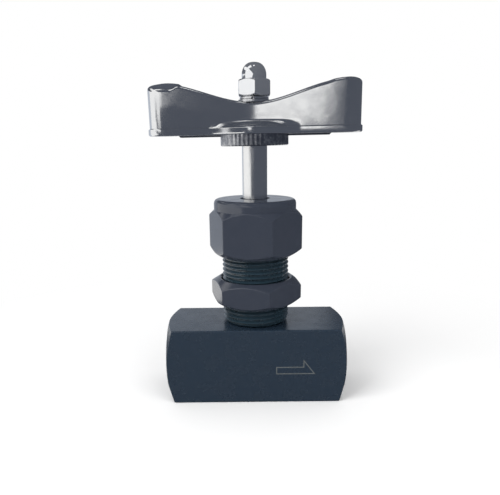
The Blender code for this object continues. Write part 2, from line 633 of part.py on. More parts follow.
def square_frame_cutter(low, high, parent):
    """Four blocks in a ring that mill the drive square on the stem."""
    inner = SQUARE_SIZE / 2
    outer = STEM_RADIUS + CUTTER_OVER
    outline = [(-outer, -outer), (outer, -outer), (outer, outer), (-outer, outer)]
    bm = prism(outline, low, high)
    hole = [(-inner, -inner), (inner, -inner), (inner, inner), (-inner, inner)]
    core = tool("square_core", prism(hole, low - CUTTER_OVER, high + CUTTER_OVER),
                parent=parent, yaw=HANDLE_YAW)
    frame = tool("square_frame", bm, parent=parent, yaw=HANDLE_YAW)
    combine(frame, core, 'DIFFERENCE')
    return frame


def half_plan():
    """The handle's front outline from its middle to its tip, as (x, half depth).

    The wall widens from a soft waist to a corner, and an arc closes the end.
    """
    def wall(x):
        soft = WAIST_SOFTNESS
        share = (math.hypot(x, soft) - soft) / (math.hypot(LOBE_CORNER, soft) - soft)
        return WAIST_HALF_DEPTH + (LOBE_HALF_DEPTH - WAIST_HALF_DEPTH) * share

    tip = HANDLE_LENGTH / 2
    run = tip - LOBE_CORNER
    arc_radius = (run ** 2 + LOBE_HALF_DEPTH ** 2) / (2 * run)
    arc_centre = tip - arc_radius
    corner_angle = math.asin(LOBE_HALF_DEPTH / arc_radius)
    last_wall = LOBE_CORNER - CORNER_REACH
    points = [(last_wall * step / 9, wall(last_wall * step / 9)) for step in range(10)]
    first_arc = corner_angle - CORNER_REACH / arc_radius
    start = Vector(points[-1])
    corner = Vector((LOBE_CORNER, LOBE_HALF_DEPTH))
    end = Vector((arc_centre + arc_radius * math.cos(first_arc),
                  arc_radius * math.sin(first_arc)))
    for t in (0.33, 0.67):
        bend = start * (1 - t) ** 2 + corner * 2 * t * (1 - t) + end * t ** 2
        points.append((bend.x, bend.y))
    arc_steps = 7
    for step in range(arc_steps):
        angle = first_arc * (1 - step / arc_steps)
        points.append((arc_centre + arc_radius * math.cos(angle),
                       arc_radius * math.sin(angle)))
    points.append((tip, 0.0))
    return points


def plan_loop(bulge=0.0, inset=0.0):
    """The handle's outline, from the left tip along the front and back along the rear.

    bulge swells it round the hub by that share of HUB_BULGE. inset moves it inwards.
    """
    right = half_plan()
    left = [(-x, depth) for x, depth in reversed(right[1:])]
    front = left + right
    swollen = []
    for x, depth in front:
        near = math.cos(math.pi / 2 * min(1.0, abs(x) / HUB_REACH)) ** 2
        swollen.append((x, depth + bulge * HUB_BULGE * near))
    loop = [(x, -depth) for x, depth in swollen]
    loop += [(x, depth) for x, depth in reversed(swollen[1:-1])]
    moved = []
    count = len(loop)
    for index, (x, y) in enumerate(loop):
        behind = Vector(loop[index - 1])
        ahead = Vector(loop[(index + 1) % count])
        along = (ahead - behind).normalized()
        moved.append((x - along.y * inset, y + along.x * inset))
    return moved


def saddle(x, y):
    """Height of the handle's top over its underside: low in the middle, high at the lobes.

    At each lobe one long edge lies higher than the other, so its top leans to the front
    or to the rear.
    """
    reach = min(1.0, abs(x) / LOBE_CREST)
    rise = LOBE_RISE * (1 - math.cos(math.pi * reach)) / 2
    share = min(1.0, max(0.0, (abs(x) - LEAN_START) / LEAN_RUN))
    lean = RIGHT_LEAN if x > 0 else LEFT_LEAN
    return SADDLE_HEIGHT + rise + lean * share * y / LOBE_HALF_DEPTH


def close_ends(bm, low, high):
    """Close a stack of plan loops with strips across the handle, below and above."""
    count = len(low)
    for loop, turn in ((low, -1), (high, 1)):
        middle = count // 2
        for index in range(middle):
            ring = [loop[index], loop[index + 1], loop[(count - index - 1) % count],
                    loop[(count - index) % count]]
            face = list(dict.fromkeys(ring))
            bm.faces.new(face[::turn])


def handle_casting():
    """The handle's body, lofted through outlines that rise from the underside."""
    top_of_lip = LIP_HEIGHT
    # height, share of the hub's bulge and inset of each outline below the walls
    skirt = [(0.0, 1.0, LIP_EDGE), (LIP_EDGE * 0.4, 1.0, LIP_EDGE * 0.3),
             (LIP_EDGE, 1.0, 0.0), (top_of_lip - LIP_CREASE, 1.0, 0.0),
             (top_of_lip, 1.0, LIP_STEP)]
    hub_steps = 4
    for step in range(1, hub_steps + 1):
        share = step / hub_steps
        skirt.append((top_of_lip + (HUB_HEIGHT - top_of_lip) * share,
                      (1 - share) ** 2, LIP_STEP))
    bm = bmesh.new()
    loops = []
    for height, bulge, inset in skirt:
        loops.append([bm.verts.new((x, y, height)) for x, y in plan_loop(bulge, inset)])
    wall_steps = 2
    for step in range(1, wall_steps + 1):
        share = step / wall_steps
        loop = []
        for x, y in plan_loop(0.0, LIP_STEP):
            top = saddle(x, y) - TOP_EDGE
            loop.append(bm.verts.new((x, y, HUB_HEIGHT + (top - HUB_HEIGHT) * share)))
        loops.append(loop)
    edge_steps = 3
    for step in range(1, edge_steps + 1):
        angle = math.pi / 2 * step / edge_steps
        inset = LIP_STEP + TOP_EDGE * (1 - math.cos(angle))
        loops.append([bm.verts.new((x, y, saddle(x, y) - TOP_EDGE * (1 - math.sin(angle))))
                      for x, y in plan_loop(0.0, inset)])
    for below, above in zip(loops, loops[1:]):
        for index in range(len(below)):
            after = (index + 1) % len(below)
            bm.faces.new((below[index], below[after], above[after], above[index]))
    close_ends(bm, loops[0], loops[-1])
    return bm


def pocket_cutter(along, across):
    """A cored pocket on one side of the underside rib, with its ceiling under the saddle."""
    steps = 4
    floor = -RIB_DROP - CUTTER_OVER
    bm = bmesh.new()
    plan = half_plan()

    def wall_depth(x):
        for (x0, d0), (x1, d1) in zip(plan, plan[1:]):
            if x0 <= x <= x1:
                return d0 + (d1 - d0) * (x - x0) / (x1 - x0)
        return 0.0

    columns = []
    for step in range(steps + 1):
        x = POCKET_START + (POCKET_END - POCKET_START) * step / steps
        inner = RIB_WIDTH / 2
        outer = wall_depth(x) - WALL_THICKNESS
        top_inner = saddle(along * x, across * inner) - TOP_THICKNESS
        top_outer = saddle(along * x, across * outer) - TOP_THICKNESS
        column = [(inner, floor), (outer, floor), (outer - POCKET_LEAN, top_outer),
                  (inner + POCKET_LEAN, top_inner)]
        columns.append([bm.verts.new((along * x, across * y, z)) for y, z in column])
    for first, second in zip(columns, columns[1:]):
        for index in range(4):
            after = (index + 1) % 4
            bm.faces.new((first[index], first[after], second[after], second[index]))
    bm.faces.new(columns[0])
    bm.faces.new(columns[-1][::-1])
    return bm


def build_handle(metal, parent):
    """The die-cast bar handle: saddle-backed, waisted, cored below, fluted at its boss."""
    seat = axis_frame("handle_seat", parent)
    seat.location = (0.0, 0.0, HANDLE_FOOT)
    seat.rotation_euler = (0.0, HANDLE_TILT, HANDLE_YAW)
    handle = place("handle", handle_casting(), metal, parent=seat)
    for along in (-1, 1):
        for across in (-1, 1):
            end = "left" if along < 0 else "right"
            face = "front" if across < 0 else "rear"
            pocket = tool(f"pocket_{end}_{face}", pocket_cutter(along, across), parent=seat)
            combine(handle, pocket, 'DIFFERENCE')
    slope = RIB_DROP
    half = RIB_WIDTH / 2
    rib = bmesh.new()
    profile = [(-RIB_REACH, 0.0), (-RIB_REACH + slope, -RIB_DROP),
               (RIB_REACH - slope, -RIB_DROP), (RIB_REACH, 0.0),
               (RIB_REACH, LIP_HEIGHT), (-RIB_REACH, LIP_HEIGHT)]
    front = [rib.verts.new((x, -half, z)) for x, z in profile]
    rear = [rib.verts.new((x, half, z)) for x, z in profile]
    rib.faces.new(front)
    rib.faces.new(rear[::-1])
    for index in range(len(profile)):
        after = (index + 1) % len(profile)
        rib.faces.new((front[index], front[after], rear[after], rear[index]))
    combine(handle, tool("underside_rib", rib, parent=seat), 'UNION')
    flutes = []
    for index in range(2 * FLUTE_COUNT):
        radius = BOSS_RADIUS - (FLUTE_DEPTH if index % 2 else 0.0)
        angle = math.tau * index / (2 * FLUTE_COUNT)
        flutes.append((radius * math.cos(angle), radius * math.sin(angle)))
    boss = prism(flutes, -BOSS_HEIGHT, LIP_HEIGHT / 2)
    combine(handle, tool("fluted_boss", boss, parent=seat), 'UNION')
    recess_top = SHAFT_RECESS - BOSS_HEIGHT
    recess_foot = -BOSS_HEIGHT - CUTTER_OVER
    recess = turned([(0.0, recess_foot), (STEM_HOLE_RADIUS, recess_foot),
                     (STEM_HOLE_RADIUS, recess_top), (0.0, recess_top)], MEDIUM)
    combine(handle, tool("shaft_recess", recess, parent=seat), 'DIFFERENCE')
    side = SQUARE_SIZE / 2 + SLIDE_GAP
    hole = [(-side, -side), (side, -side), (side, side), (-side, side)]
    square = prism(hole, recess_top - CUTTER_OVER, SADDLE_HEIGHT + CUTTER_OVER)
    combine(handle, tool("square_hole", square, parent=seat), 'DIFFERENCE')
    spot_radius = WASHER_RADIUS + SPOT_FACE_PLAY
    spot_low = SADDLE_HEIGHT - SPOT_FACE_SINK
    spot = turned([(0.0, spot_low), (spot_radius, spot_low),
                   (spot_radius, spot_low + LOBE_RISE), (0.0, spot_low + LOBE_RISE)], SMALL)
    combine(handle, tool("spot_face", spot, parent=seat), 'DIFFERENCE')
    return handle


def build_handle_fastening(steel, chrome, parent):
    """The flat washer, the split spring washer and the domed cap nut."""
    bore = STUD_RADIUS + SLIDE_GAP
    edge = WASHER_EDGE
    flat = [(bore, 0.0), (WASHER_RADIUS - edge, 0.0), (WASHER_RADIUS, edge),
            (WASHER_RADIUS, WASHER_THICKNESS - edge),
            (WASHER_RADIUS - edge, WASHER_THICKNESS), (bore, WASHER_THICKNESS)]
    place("flat_washer", turned(flat, SMALL), steel, height=WASHER_FOOT, parent=parent)
    ring = [(bore, 0.0), (SPRING_WASHER_RADIUS, 0.0),
            (SPRING_WASHER_RADIUS, SPRING_WASHER_THICKNESS), (bore, SPRING_WASHER_THICKNESS)]
    washer = place("spring_washer", turned(ring, SMALL), steel, height=SPRING_WASHER_FOOT,
                   parent=parent)
    reach = SPRING_WASHER_RADIUS + CUTTER_OVER
    slant = reach * math.tan(SPRING_WASHER_SPLIT)
    wedge = [(0.0, 0.0), (reach, -slant / 2), (reach, slant / 2)]
    split = prism(wedge, -CUTTER_OVER, SPRING_WASHER_THICKNESS + CUTTER_OVER)
    combine(washer, tool("washer_split", split, height=SPRING_WASHER_FOOT, parent=parent,
                         yaw=SPLIT_YAW), 'DIFFERENCE')
    corner = ACORN_FLATS / 2 / math.cos(math.pi / 6)
    beyond = corner * CORNER_OVER
    face = ACORN_FLATS / 2 * ACORN_FACE_SHARE
    rise = ACORN_CHAMFER_HEIGHT
    dome_foot = ACORN_HEX_HEIGHT + ACORN_NECK
    dome_steps = 6
    section = [(bore, 0.0), (face, 0.0), (beyond, rise),
               (beyond, ACORN_HEX_HEIGHT - rise), (face, ACORN_HEX_HEIGHT),
               (ACORN_DOME_RADIUS, ACORN_HEX_HEIGHT)]
    for step in range(dome_steps + 1):
        angle = math.pi / 2 * step / dome_steps
        share = max(0.0, math.cos(angle)) ** ACORN_DOME_FULLNESS if step < dome_steps else 0.0
        section.append((ACORN_DOME_RADIUS * share,
                        dome_foot + ACORN_DOME_HEIGHT * math.sin(angle)))
    hollow = STUD_IN_NUT + THIN_GAP * 4
    section += [(0.0, hollow), (bore, hollow)]
    top = dome_foot + ACORN_DOME_HEIGHT
    blank = tool("acorn_blank", turned(section, MEDIUM), height=ACORN_FOOT, parent=parent,
                 yaw=ACORN_YAW)
    hexagon = prism(polygon(ACORN_FLATS, 6), -CUTTER_OVER, top + CUTTER_OVER)
    nut = place("acorn_nut", hexagon, chrome, height=ACORN_FOOT, parent=parent, yaw=ACORN_YAW)
    combine(nut, blank, 'INTERSECT')


def build_valve():
    """Build every piece in the order in which the valve goes together."""
    clear_scene()
    blackened = finish("blackened_steel", (0.035, 0.045, 0.06), 0.7, 0.42)
    stainless = finish("stainless_steel", (0.62, 0.62, 0.62), 1.0, 0.25)
    die_cast = finish("die_cast_metal", (0.55, 0.56, 0.58), 1.0, 0.32)
    chrome = finish("chrome_plate", (0.8, 0.8, 0.82), 1.0, 0.08)
    brass = finish("brass", (0.7, 0.5, 0.22), 1.0, 0.35)
    rubber = finish("black_rubber", (0.02, 0.02, 0.02), 0.0, 0.7)
    white_plastic = finish("white_packing", (0.85, 0.85, 0.82), 0.0, 0.5)
    build_body(blackened)
    build_seat(stainless)
    groove_low, groove_radius = build_bonnet(blackened)
    build_bonnet_seals(rubber, white_plastic, groove_low, groove_radius)
    build_packing(brass, white_plastic)
    build_gland(brass)
    build_packing_nut(blackened)
    build_lock_nut(blackened, axis_frame("lock_nut_axis"))
    lift = axis_frame("stem_lift_axis")
    spindle = axis_frame("handle_turn_axis", lift)
    build_needle(stainless, stainless, lift)
    build_stem(stainless, spindle)
    build_handle(die_cast, spindle)
    build_handle_fastening(stainless, chrome, spindle)


build_valve()
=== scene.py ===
"""The gauge isolation valve with its real edges, threads and finishes.

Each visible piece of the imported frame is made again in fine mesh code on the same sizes,
and each hidden one keeps its CAD shape and gets its finish. Sizes are millimetres times
MM, heights are over the body's underside, and the stem stands on the Z axis.
"""
import json
import logging
import math
from collections.abc import Callable, Sequence
from dataclasses import dataclass
from enum import Enum
from typing import ClassVar

import bmesh
import bpy
from mathutils import Matrix, Vector

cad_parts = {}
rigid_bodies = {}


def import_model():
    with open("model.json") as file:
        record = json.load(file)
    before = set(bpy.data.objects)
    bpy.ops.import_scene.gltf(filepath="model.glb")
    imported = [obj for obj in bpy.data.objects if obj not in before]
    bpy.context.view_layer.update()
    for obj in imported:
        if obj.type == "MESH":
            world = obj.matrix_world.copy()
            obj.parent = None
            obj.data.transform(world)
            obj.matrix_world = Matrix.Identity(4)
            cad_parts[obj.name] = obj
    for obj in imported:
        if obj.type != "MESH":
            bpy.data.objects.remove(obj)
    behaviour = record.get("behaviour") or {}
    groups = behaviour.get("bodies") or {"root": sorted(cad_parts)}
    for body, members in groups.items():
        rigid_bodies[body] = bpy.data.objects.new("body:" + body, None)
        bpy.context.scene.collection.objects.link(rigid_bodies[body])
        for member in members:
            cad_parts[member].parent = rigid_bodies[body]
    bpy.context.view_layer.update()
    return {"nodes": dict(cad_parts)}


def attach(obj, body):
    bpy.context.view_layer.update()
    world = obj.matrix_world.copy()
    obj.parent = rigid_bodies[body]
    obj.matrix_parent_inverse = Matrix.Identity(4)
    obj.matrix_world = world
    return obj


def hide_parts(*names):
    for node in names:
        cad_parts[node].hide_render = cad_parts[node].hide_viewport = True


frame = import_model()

MM = 0.001
WELD = 0.0005 * MM      # points nearer than this are one
OVERRUN = 1.0 * MM      # how far a cutter passes the surface that it leaves by
EDGE_SHARE = 0.45       # the most of an edge that the rounding of one corner takes

Colour = tuple[float, float, float]
Place = tuple[float, float, float]
Corner = tuple[float, ...]
Pair = tuple[float, float]
Section = list[Pair]

log = logging.getLogger("valve")


class Side(Enum):
    """The two ends of a piece that lies along X."""

    LEFT = -1
    RIGHT = 1


class Grain(Enum):
    """The marks that a way of making leaves on a surface."""

    DRAWN = "drawn"        # fine lines along X
    TURNED = "turned"      # fine rings round Z
    TUMBLED = "tumbled"    # no direction
    CAST = "cast"          # waves under a tumbled surface


class Body(Enum):
    """The moving bodies of the frame."""

    HOUSING = "housing"
    LOCK_NUT = "lock_nut"
    CARRIAGE = "needle_carriage"
    SPINDLE = "spindle"


# Finishes


@dataclass(frozen=True)
class Finish:
    """A surface finish and the nodes that make it.

    Colours are linear. Bump depths are metres, and scales are waves for each metre.
    """

    name: str
    slot: str
    colour: Colour
    mottle: Colour
    worn: Colour
    metallic: float
    ior: float
    roughness: Pair
    grain: Grain
    grain_scale: float = 9000.0
    grain_depth: float = 0.004 * MM
    mottle_scale: float = 260.0
    wear: float = 0.5
    wave_depth: float = 0.0
    wave_scale: float = 120.0
    # painted shade: the darker colour taken by faces marked as an underside, in place of the shade
    # under the handle
    painted_underside_shade: Colour | None = None
    mottle_octaves: ClassVar[Pair] = (5.0, 0.6)
    grain_octaves: ClassVar[Pair] = (3.0, 0.55)
    patch_octaves: ClassVar[Pair] = (4.0, 0.7)
    wave_octaves: ClassVar[Pair] = (2.0, 0.4)
    mottle_span: ClassVar[Pair] = (0.35, 0.65)
    patch_span: ClassVar[Pair] = (0.45, 0.62)
    patch_ratio: ClassVar[float] = 4.0
    underside_roughness: ClassVar[float] = 0.2
    drawn_stretch: ClassVar[Place] = (0.02, 1.0, 1.0)

    def material(self) -> bpy.types.Material:
        """Find this finish's material or make it.

        Returns:
            The material, shared by every piece with this finish.
        """
        known = bpy.data.materials.get(self.name)
        if known is not None:
            return known
        material, tree = new_material(self.name)
        shader = tree.find("Principled BSDF")
        shader.inputs["Metallic"].default_value = self.metallic
        shader.inputs["IOR"].default_value = self.ior
        place = tree.node("ShaderNodeTexCoord").outputs["Object"]
        mottle = tree.noise(place, self.mottle_scale, self.mottle_octaves)
        grain = tree.noise(self._grain_place(tree, place), self.grain_scale, self.grain_octaves)
        colour = tree.mix(mottle, self.colour, self.mottle)
        rough = tree.map_range(mottle, self.mottle_span, self.roughness)
        # painted shade: faces marked in the mesh as the handle's underside take the darker
        # underside colour, and they are also made rougher
        if self.painted_underside_shade is not None:
            cast = tree.attribute("painted_underside_shade")
            colour = tree.mix(cast, colour, self.painted_underside_shade)
            rough = tree.math("ADD", rough, tree.math("MULTIPLY", cast, self.underside_roughness))
        tree.join(rough, shader.inputs["Roughness"])
        patch = tree.noise(place, self.mottle_scale * self.patch_ratio, self.patch_octaves)
        rubbed = tree.math("MULTIPLY", tree.attribute("wear"),
                           tree.map_range(patch, self.patch_span, (0.0, self.wear)))
        tree.join(tree.mix(rubbed, colour, self.worn), shader.inputs["Base Color"])
        normal = tree.bump(grain, self.grain_depth)
        if self.wave_depth > 0.0:
            wave = tree.noise(place, self.wave_scale, self.wave_octaves)
            normal = tree.bump(wave, self.wave_depth, normal)
        tree.join(normal, shader.inputs["Normal"])
        return material

    def _grain_place(self, tree: "NodeBench", place: bpy.types.NodeSocket) -> bpy.types.NodeSocket:
        """Stretch the texture space along this finish's grain.

        Args:
            tree: The bench that holds the nodes.
            place: The object coordinates.

        Returns:
            The coordinates for the grain's noise.
        """
        if self.grain is Grain.DRAWN:
            return tree.stretch(place, self.drawn_stretch)
        if self.grain is Grain.TURNED:
            radius = tree.add("ShaderNodeVectorMath", {0: tree.stretch(place, (1.0, 1.0, 0.0))},
                              "Value", operation='LENGTH')
            height = tree.add("ShaderNodeSeparateXYZ", {"Vector": place}, "Z")
            return tree.add("ShaderNodeCombineXYZ", {"X": radius, "Z": height}, "Vector")
        return place


class NodeBench:
    """Short ways to add and join shader nodes in one tree."""

    def __init__(self, tree: bpy.types.NodeTree) -> None:
        """Work on a node tree."""
        self.tree = tree

    def find(self, name: str) -> bpy.types.Node:
        """One of the nodes that a new tree has."""
        return self.tree.nodes[name]

    def node(self, kind: str, **settings: object) -> bpy.types.Node:
        """Add a node.

        Args:
            kind: Blender's name of the node type.
            settings: Properties to set on it.

        Returns:
            The new node.
        """
        made = self.tree.nodes.new(kind)
        for key, value in settings.items():
            setattr(made, key, value)
        return made

    def join(self, start: bpy.types.NodeSocket, end: bpy.types.NodeSocket) -> None:
        """Link two sockets."""
        self.tree.links.new(start, end)

    def add(self, kind: str, inputs: dict[str | int, object], result: str | int,
            **settings: object) -> bpy.types.NodeSocket:
        """Add a node and feed it.

        Args:
            kind: Blender's name of the node type.
            inputs: For each of its inputs a value or the socket that feeds it.
            result: Which of its outputs is wanted.
            settings: Properties to set on it.

        Returns:
            That output.
        """
        made = self.node(kind, **settings)
        for key, value in inputs.items():
            if isinstance(value, bpy.types.NodeSocket):
                self.join(value, made.inputs[key])
            else:
                made.inputs[key].default_value = value
        return made.outputs[result]

    def attribute(self, name: str) -> bpy.types.NodeSocket:
        """A value that is stored on the mesh."""
        return self.add("ShaderNodeAttribute", {}, "Fac", attribute_name=name)

    def noise(self, place: bpy.types.NodeSocket, scale: float,
              octaves: Pair) -> bpy.types.NodeSocket:
        """Noise in waves for each metre, from its octaves' number and strength."""
        return self.add("ShaderNodeTexNoise", {
            "Vector": place, "Scale": scale, "Detail": octaves[0], "Roughness": octaves[1]}, "Fac")

    def mix(self, share: bpy.types.NodeSocket, first: object,
            second: object) -> bpy.types.NodeSocket:
        """Mix two colours, each a colour or a socket.

        Args:
            share: How much of the second.
            first: The colour at 0.
            second: The colour at 1.

        Returns:
            The mixed colour.
        """
        full = [(*value, 1.0) if isinstance(value, tuple) else value for value in (first, second)]
        return self.add("ShaderNodeMix", {"Factor": share, 6: full[0], 7: full[1]}, 2,
                        data_type='RGBA')

    def map_range(self, value: bpy.types.NodeSocket, source: Pair,
                  target: Pair) -> bpy.types.NodeSocket:
        """Carry one span of values over to another, clamped."""
        ends = zip(("From Min", "From Max", "To Min", "To Max"), (*source, *target))
        return self.add("ShaderNodeMapRange", {"Value": value, **dict(ends)}, "Result")

    def math(self, operation: str, first: bpy.types.NodeSocket,
             second: object) -> bpy.types.NodeSocket:
        """Join two values, of which the second may be a number."""
        return self.add("ShaderNodeMath", {0: first, 1: second}, "Value", operation=operation)

    def stretch(self, place: bpy.types.NodeSocket, factors: Place) -> bpy.types.NodeSocket:
        """Scale coordinates on each axis."""
        return self.add("ShaderNodeMapping", {"Vector": place, "Scale": factors}, "Vector")

    def bump(self, height: bpy.types.NodeSocket, depth: float,
             normal: bpy.types.NodeSocket | None = None) -> bpy.types.NodeSocket:
        """Turn heights into a bumped normal.

        Args:
            height: The heights, from 0 to 1.
            depth: What a height of 1 is, in metres.
            normal: A normal to bump further, if any.

        Returns:
            The bumped normal.
        """
        inputs: dict[str | int, object] = {"Strength": 1.0, "Distance": depth, "Height": height}
        if normal is not None:
            inputs["Normal"] = normal
        return self.add("ShaderNodeBump", inputs, "Normal")


def new_material(name: str) -> tuple[bpy.types.Material, NodeBench]:
    """Add a material.

    Args:
        name: Its name.

    Returns:
        The material and the bench that holds its nodes.
    """
    material = bpy.data.materials.new(name)
    material.use_nodes = True
    return material, NodeBench(material.node_tree)


BODY_BLACK = Finish(
    "body_black", "blackened_steel", (0.014, 0.026, 0.043), (0.017, 0.030, 0.048),
    (0.10, 0.11, 0.13), 0.0, 1.74, (0.22, 0.30), Grain.DRAWN, grain_scale=7000.0,
    grain_depth=0.001 * MM, wear=0.05)
NUT_BLACK = Finish(
    "nut_black", "blackened_steel", (0.030, 0.036, 0.051), (0.035, 0.041, 0.057),
    (0.12, 0.13, 0.15), 0.0, 1.62, (0.14, 0.22), Grain.TURNED, grain_scale=5000.0,
    grain_depth=0.001 * MM, wear=0.06)
THREAD_BLACK = Finish(
    "thread_black", "blackened_steel", (0.017, 0.034, 0.048), (0.021, 0.039, 0.053),
    (0.06, 0.08, 0.10), 0.0, 1.75, (0.18, 0.28), Grain.TURNED, grain_scale=6000.0,
    grain_depth=0.002 * MM, wear=0.0)
GROUND_STEEL = Finish(
    "ground_steel", "stainless_steel", (0.88, 0.88, 0.87), (0.82, 0.82, 0.82),
    (0.90, 0.90, 0.89), 1.0, 1.5, (0.17, 0.25), Grain.TURNED, grain_scale=8000.0,
    grain_depth=0.002 * MM)
# the die-cast finish paints shade on the handle's underside as a darker grey
DIE_CAST = Finish(
    "die_cast", "die_cast_metal", (0.87, 0.87, 0.86), (0.74, 0.75, 0.77),
    (0.90, 0.90, 0.89), 1.0, 1.5, (0.11, 0.17), Grain.CAST, grain_scale=5200.0,
    grain_depth=0.003 * MM, mottle_scale=190.0, wave_depth=0.04 * MM, wave_scale=140.0,
    painted_underside_shade=(0.30, 0.31, 0.34))
CHROME = Finish(
    "chrome", "chrome_plate", (0.86, 0.87, 0.88), (0.80, 0.81, 0.83),
    (0.90, 0.90, 0.90), 0.94, 1.5, (0.05, 0.10), Grain.TUMBLED, grain_scale=3000.0,
    grain_depth=0.0015 * MM)
WASHER_STEEL = Finish(
    "washer_steel", "stainless_steel", (0.84, 0.84, 0.84), (0.70, 0.71, 0.73),
    (0.88, 0.88, 0.88), 1.0, 1.5, (0.24, 0.38), Grain.TUMBLED)
TURNED_BRASS = Finish(
    "turned_brass", "brass", (0.72, 0.50, 0.22), (0.60, 0.42, 0.19),
    (0.80, 0.60, 0.30), 1.0, 1.5, (0.26, 0.40), Grain.TURNED)
SEAL_RUBBER = Finish(
    "seal_rubber", "black_rubber", (0.018, 0.018, 0.019), (0.028, 0.028, 0.029),
    (0.04, 0.04, 0.04), 0.0, 1.5, (0.55, 0.75), Grain.TUMBLED)
PACKING_WHITE = Finish(
    "packing_white", "white_packing", (0.82, 0.82, 0.79), (0.76, 0.76, 0.73),
    (0.86, 0.86, 0.84), 0.0, 1.4, (0.42, 0.58), Grain.TURNED)
ETCHED_LINE = Finish(
    "etched_line", "blackened_steel", (0.12, 0.13, 0.13), (0.08, 0.09, 0.09),
    (0.14, 0.15, 0.15), 0.0, 1.5, (0.55, 0.75), Grain.TUMBLED)


# Mesh tools


def bent(start: Vector, corner: Vector, end: Vector, share: float) -> Pair:
    """A point on the curve that rounds off a corner.

    Args:
        start: Where the curve leaves the first side.
        corner: The sharp corner.
        end: Where it meets the second side.
        share: How far along the curve the point is, from 0 to 1.

    Returns:
        The point.
    """
    point = (start * (1 - share) ** 2 + corner * 2 * share * (1 - share)
             + end * share ** 2)
    return point.x, point.y


def soften(section: Sequence[Corner], steps: int = 3) -> Section:
    """Round the corners of a closed section whose points carry a third value, their reach.

    Args:
        section: Points of (radius, height) or (radius, height, reach).
        steps: Facets on each rounded corner.

    Returns:
        The section's points with the corners rounded.
    """
    points: Section = []
    count = len(section)
    for index, corner in enumerate(section):
        here = Vector(corner[:2])
        if len(corner) == 2:
            points.append((here.x, here.y))
            continue
        back = Vector(section[index - 1][:2]) - here
        ahead = Vector(section[(index + 1) % count][:2]) - here
        start = here + back.normalized() * min(corner[2], back.length * EDGE_SHARE)
        end = here + ahead.normalized() * min(corner[2], ahead.length * EDGE_SHARE)
        points += [bent(start, here, end, step / steps) for step in range(steps + 1)]
    return points


def loft(rows: Sequence[Sequence[Sequence[float]]], caps: bool = True, ring: bool = True,
         closed: bool = False) -> bmesh.types.BMesh:
    """Skin a row of outlines that all have the same number of points.

    Args:
        rows: The outlines, each a list of (x, y, z).
        caps: Whether the first and the last one are filled.
        ring: Whether each outline is closed.
        closed: Whether the last outline is joined to the first.

    Returns:
        The surface.
    """
    bm = bmesh.new()
    made = [[bm.verts.new(point) for point in row] for row in rows]
    count = len(made[0])
    for first, second in zip(made, made[1:] + made[:1] if closed else made[1:]):
        for index in range(count if ring else count - 1):
            after = (index + 1) % count
            bm.faces.new((first[index], second[index], second[after], first[after]))
    if caps:
        bm.faces.new(made[0])
        bm.faces.new(made[-1][::-1])
    if ring:
        bmesh.ops.recalc_face_normals(bm, faces=bm.faces)
    return bm


def spun(section_at: Callable[[float], Section], angles: Sequence[float]) -> bmesh.types.BMesh:
    """Make a closed surface from one section at each angle round the Z axis.

    Args:
        section_at: Gives the closed (radius, height) section at an angle, always with the
            same number of points.
        angles: The angles, rising through one turn.

    Returns:
        The surface.
    """
    bm = loft([[(radius * math.cos(angle), radius * math.sin(angle), height)
                for radius, height in section_at(angle)] for angle in angles],
              caps=False, closed=True)
    bmesh.ops.remove_doubles(bm, verts=bm.verts, dist=WELD)
    bmesh.ops.dissolve_degenerate(bm, edges=bm.edges, dist=WELD)
    bmesh.ops.recalc_face_normals(bm, faces=bm.faces)
    return bm


def lathe(section: Sequence[Corner], facets: int) -> bmesh.types.BMesh:
    """Turn one section about the Z axis.

    Args:
        section: Its corners, with a reach where they are rounded.
        facets: Facets round the axis.

    Returns:
        The turned surface.
    """
    points = soften(section)
    return spun(lambda angle: points, [math.tau * index / facets for index in range(facets)])


def rotated(bm: bmesh.types.BMesh, matrix: Matrix) -> bmesh.types.BMesh:
    """Rotate a mesh about the origin."""
    bmesh.ops.rotate(bm, verts=bm.verts, cent=(0.0, 0.0, 0.0), matrix=matrix)
    return bm


def lay_along_x(bm: bmesh.types.BMesh) -> bmesh.types.BMesh:
    """Tip a mesh from the Z axis on to the X axis."""
    return rotated(bm, Matrix.Rotation(math.pi / 2, 3, 'Y'))


def plug(radius: float, foot: float, top: float, facets: int = 64) -> bmesh.types.BMesh:
    """A solid cylinder on the Z axis.

    Args:
        radius: Its radius.
        foot: Its lower end.
        top: Its upper end.
        facets: Its steps round the axis.

    Returns:
        The cylinder.
    """
    return lathe([(0.0, foot), (radius, foot), (radius, top), (0.0, top)], facets)


def shift(bm: bmesh.types.BMesh, height: float) -> bmesh.types.BMesh:
    """Lift a mesh along Z."""
    bmesh.ops.translate(bm, verts=bm.verts, vec=(0.0, 0.0, height))
    return bm


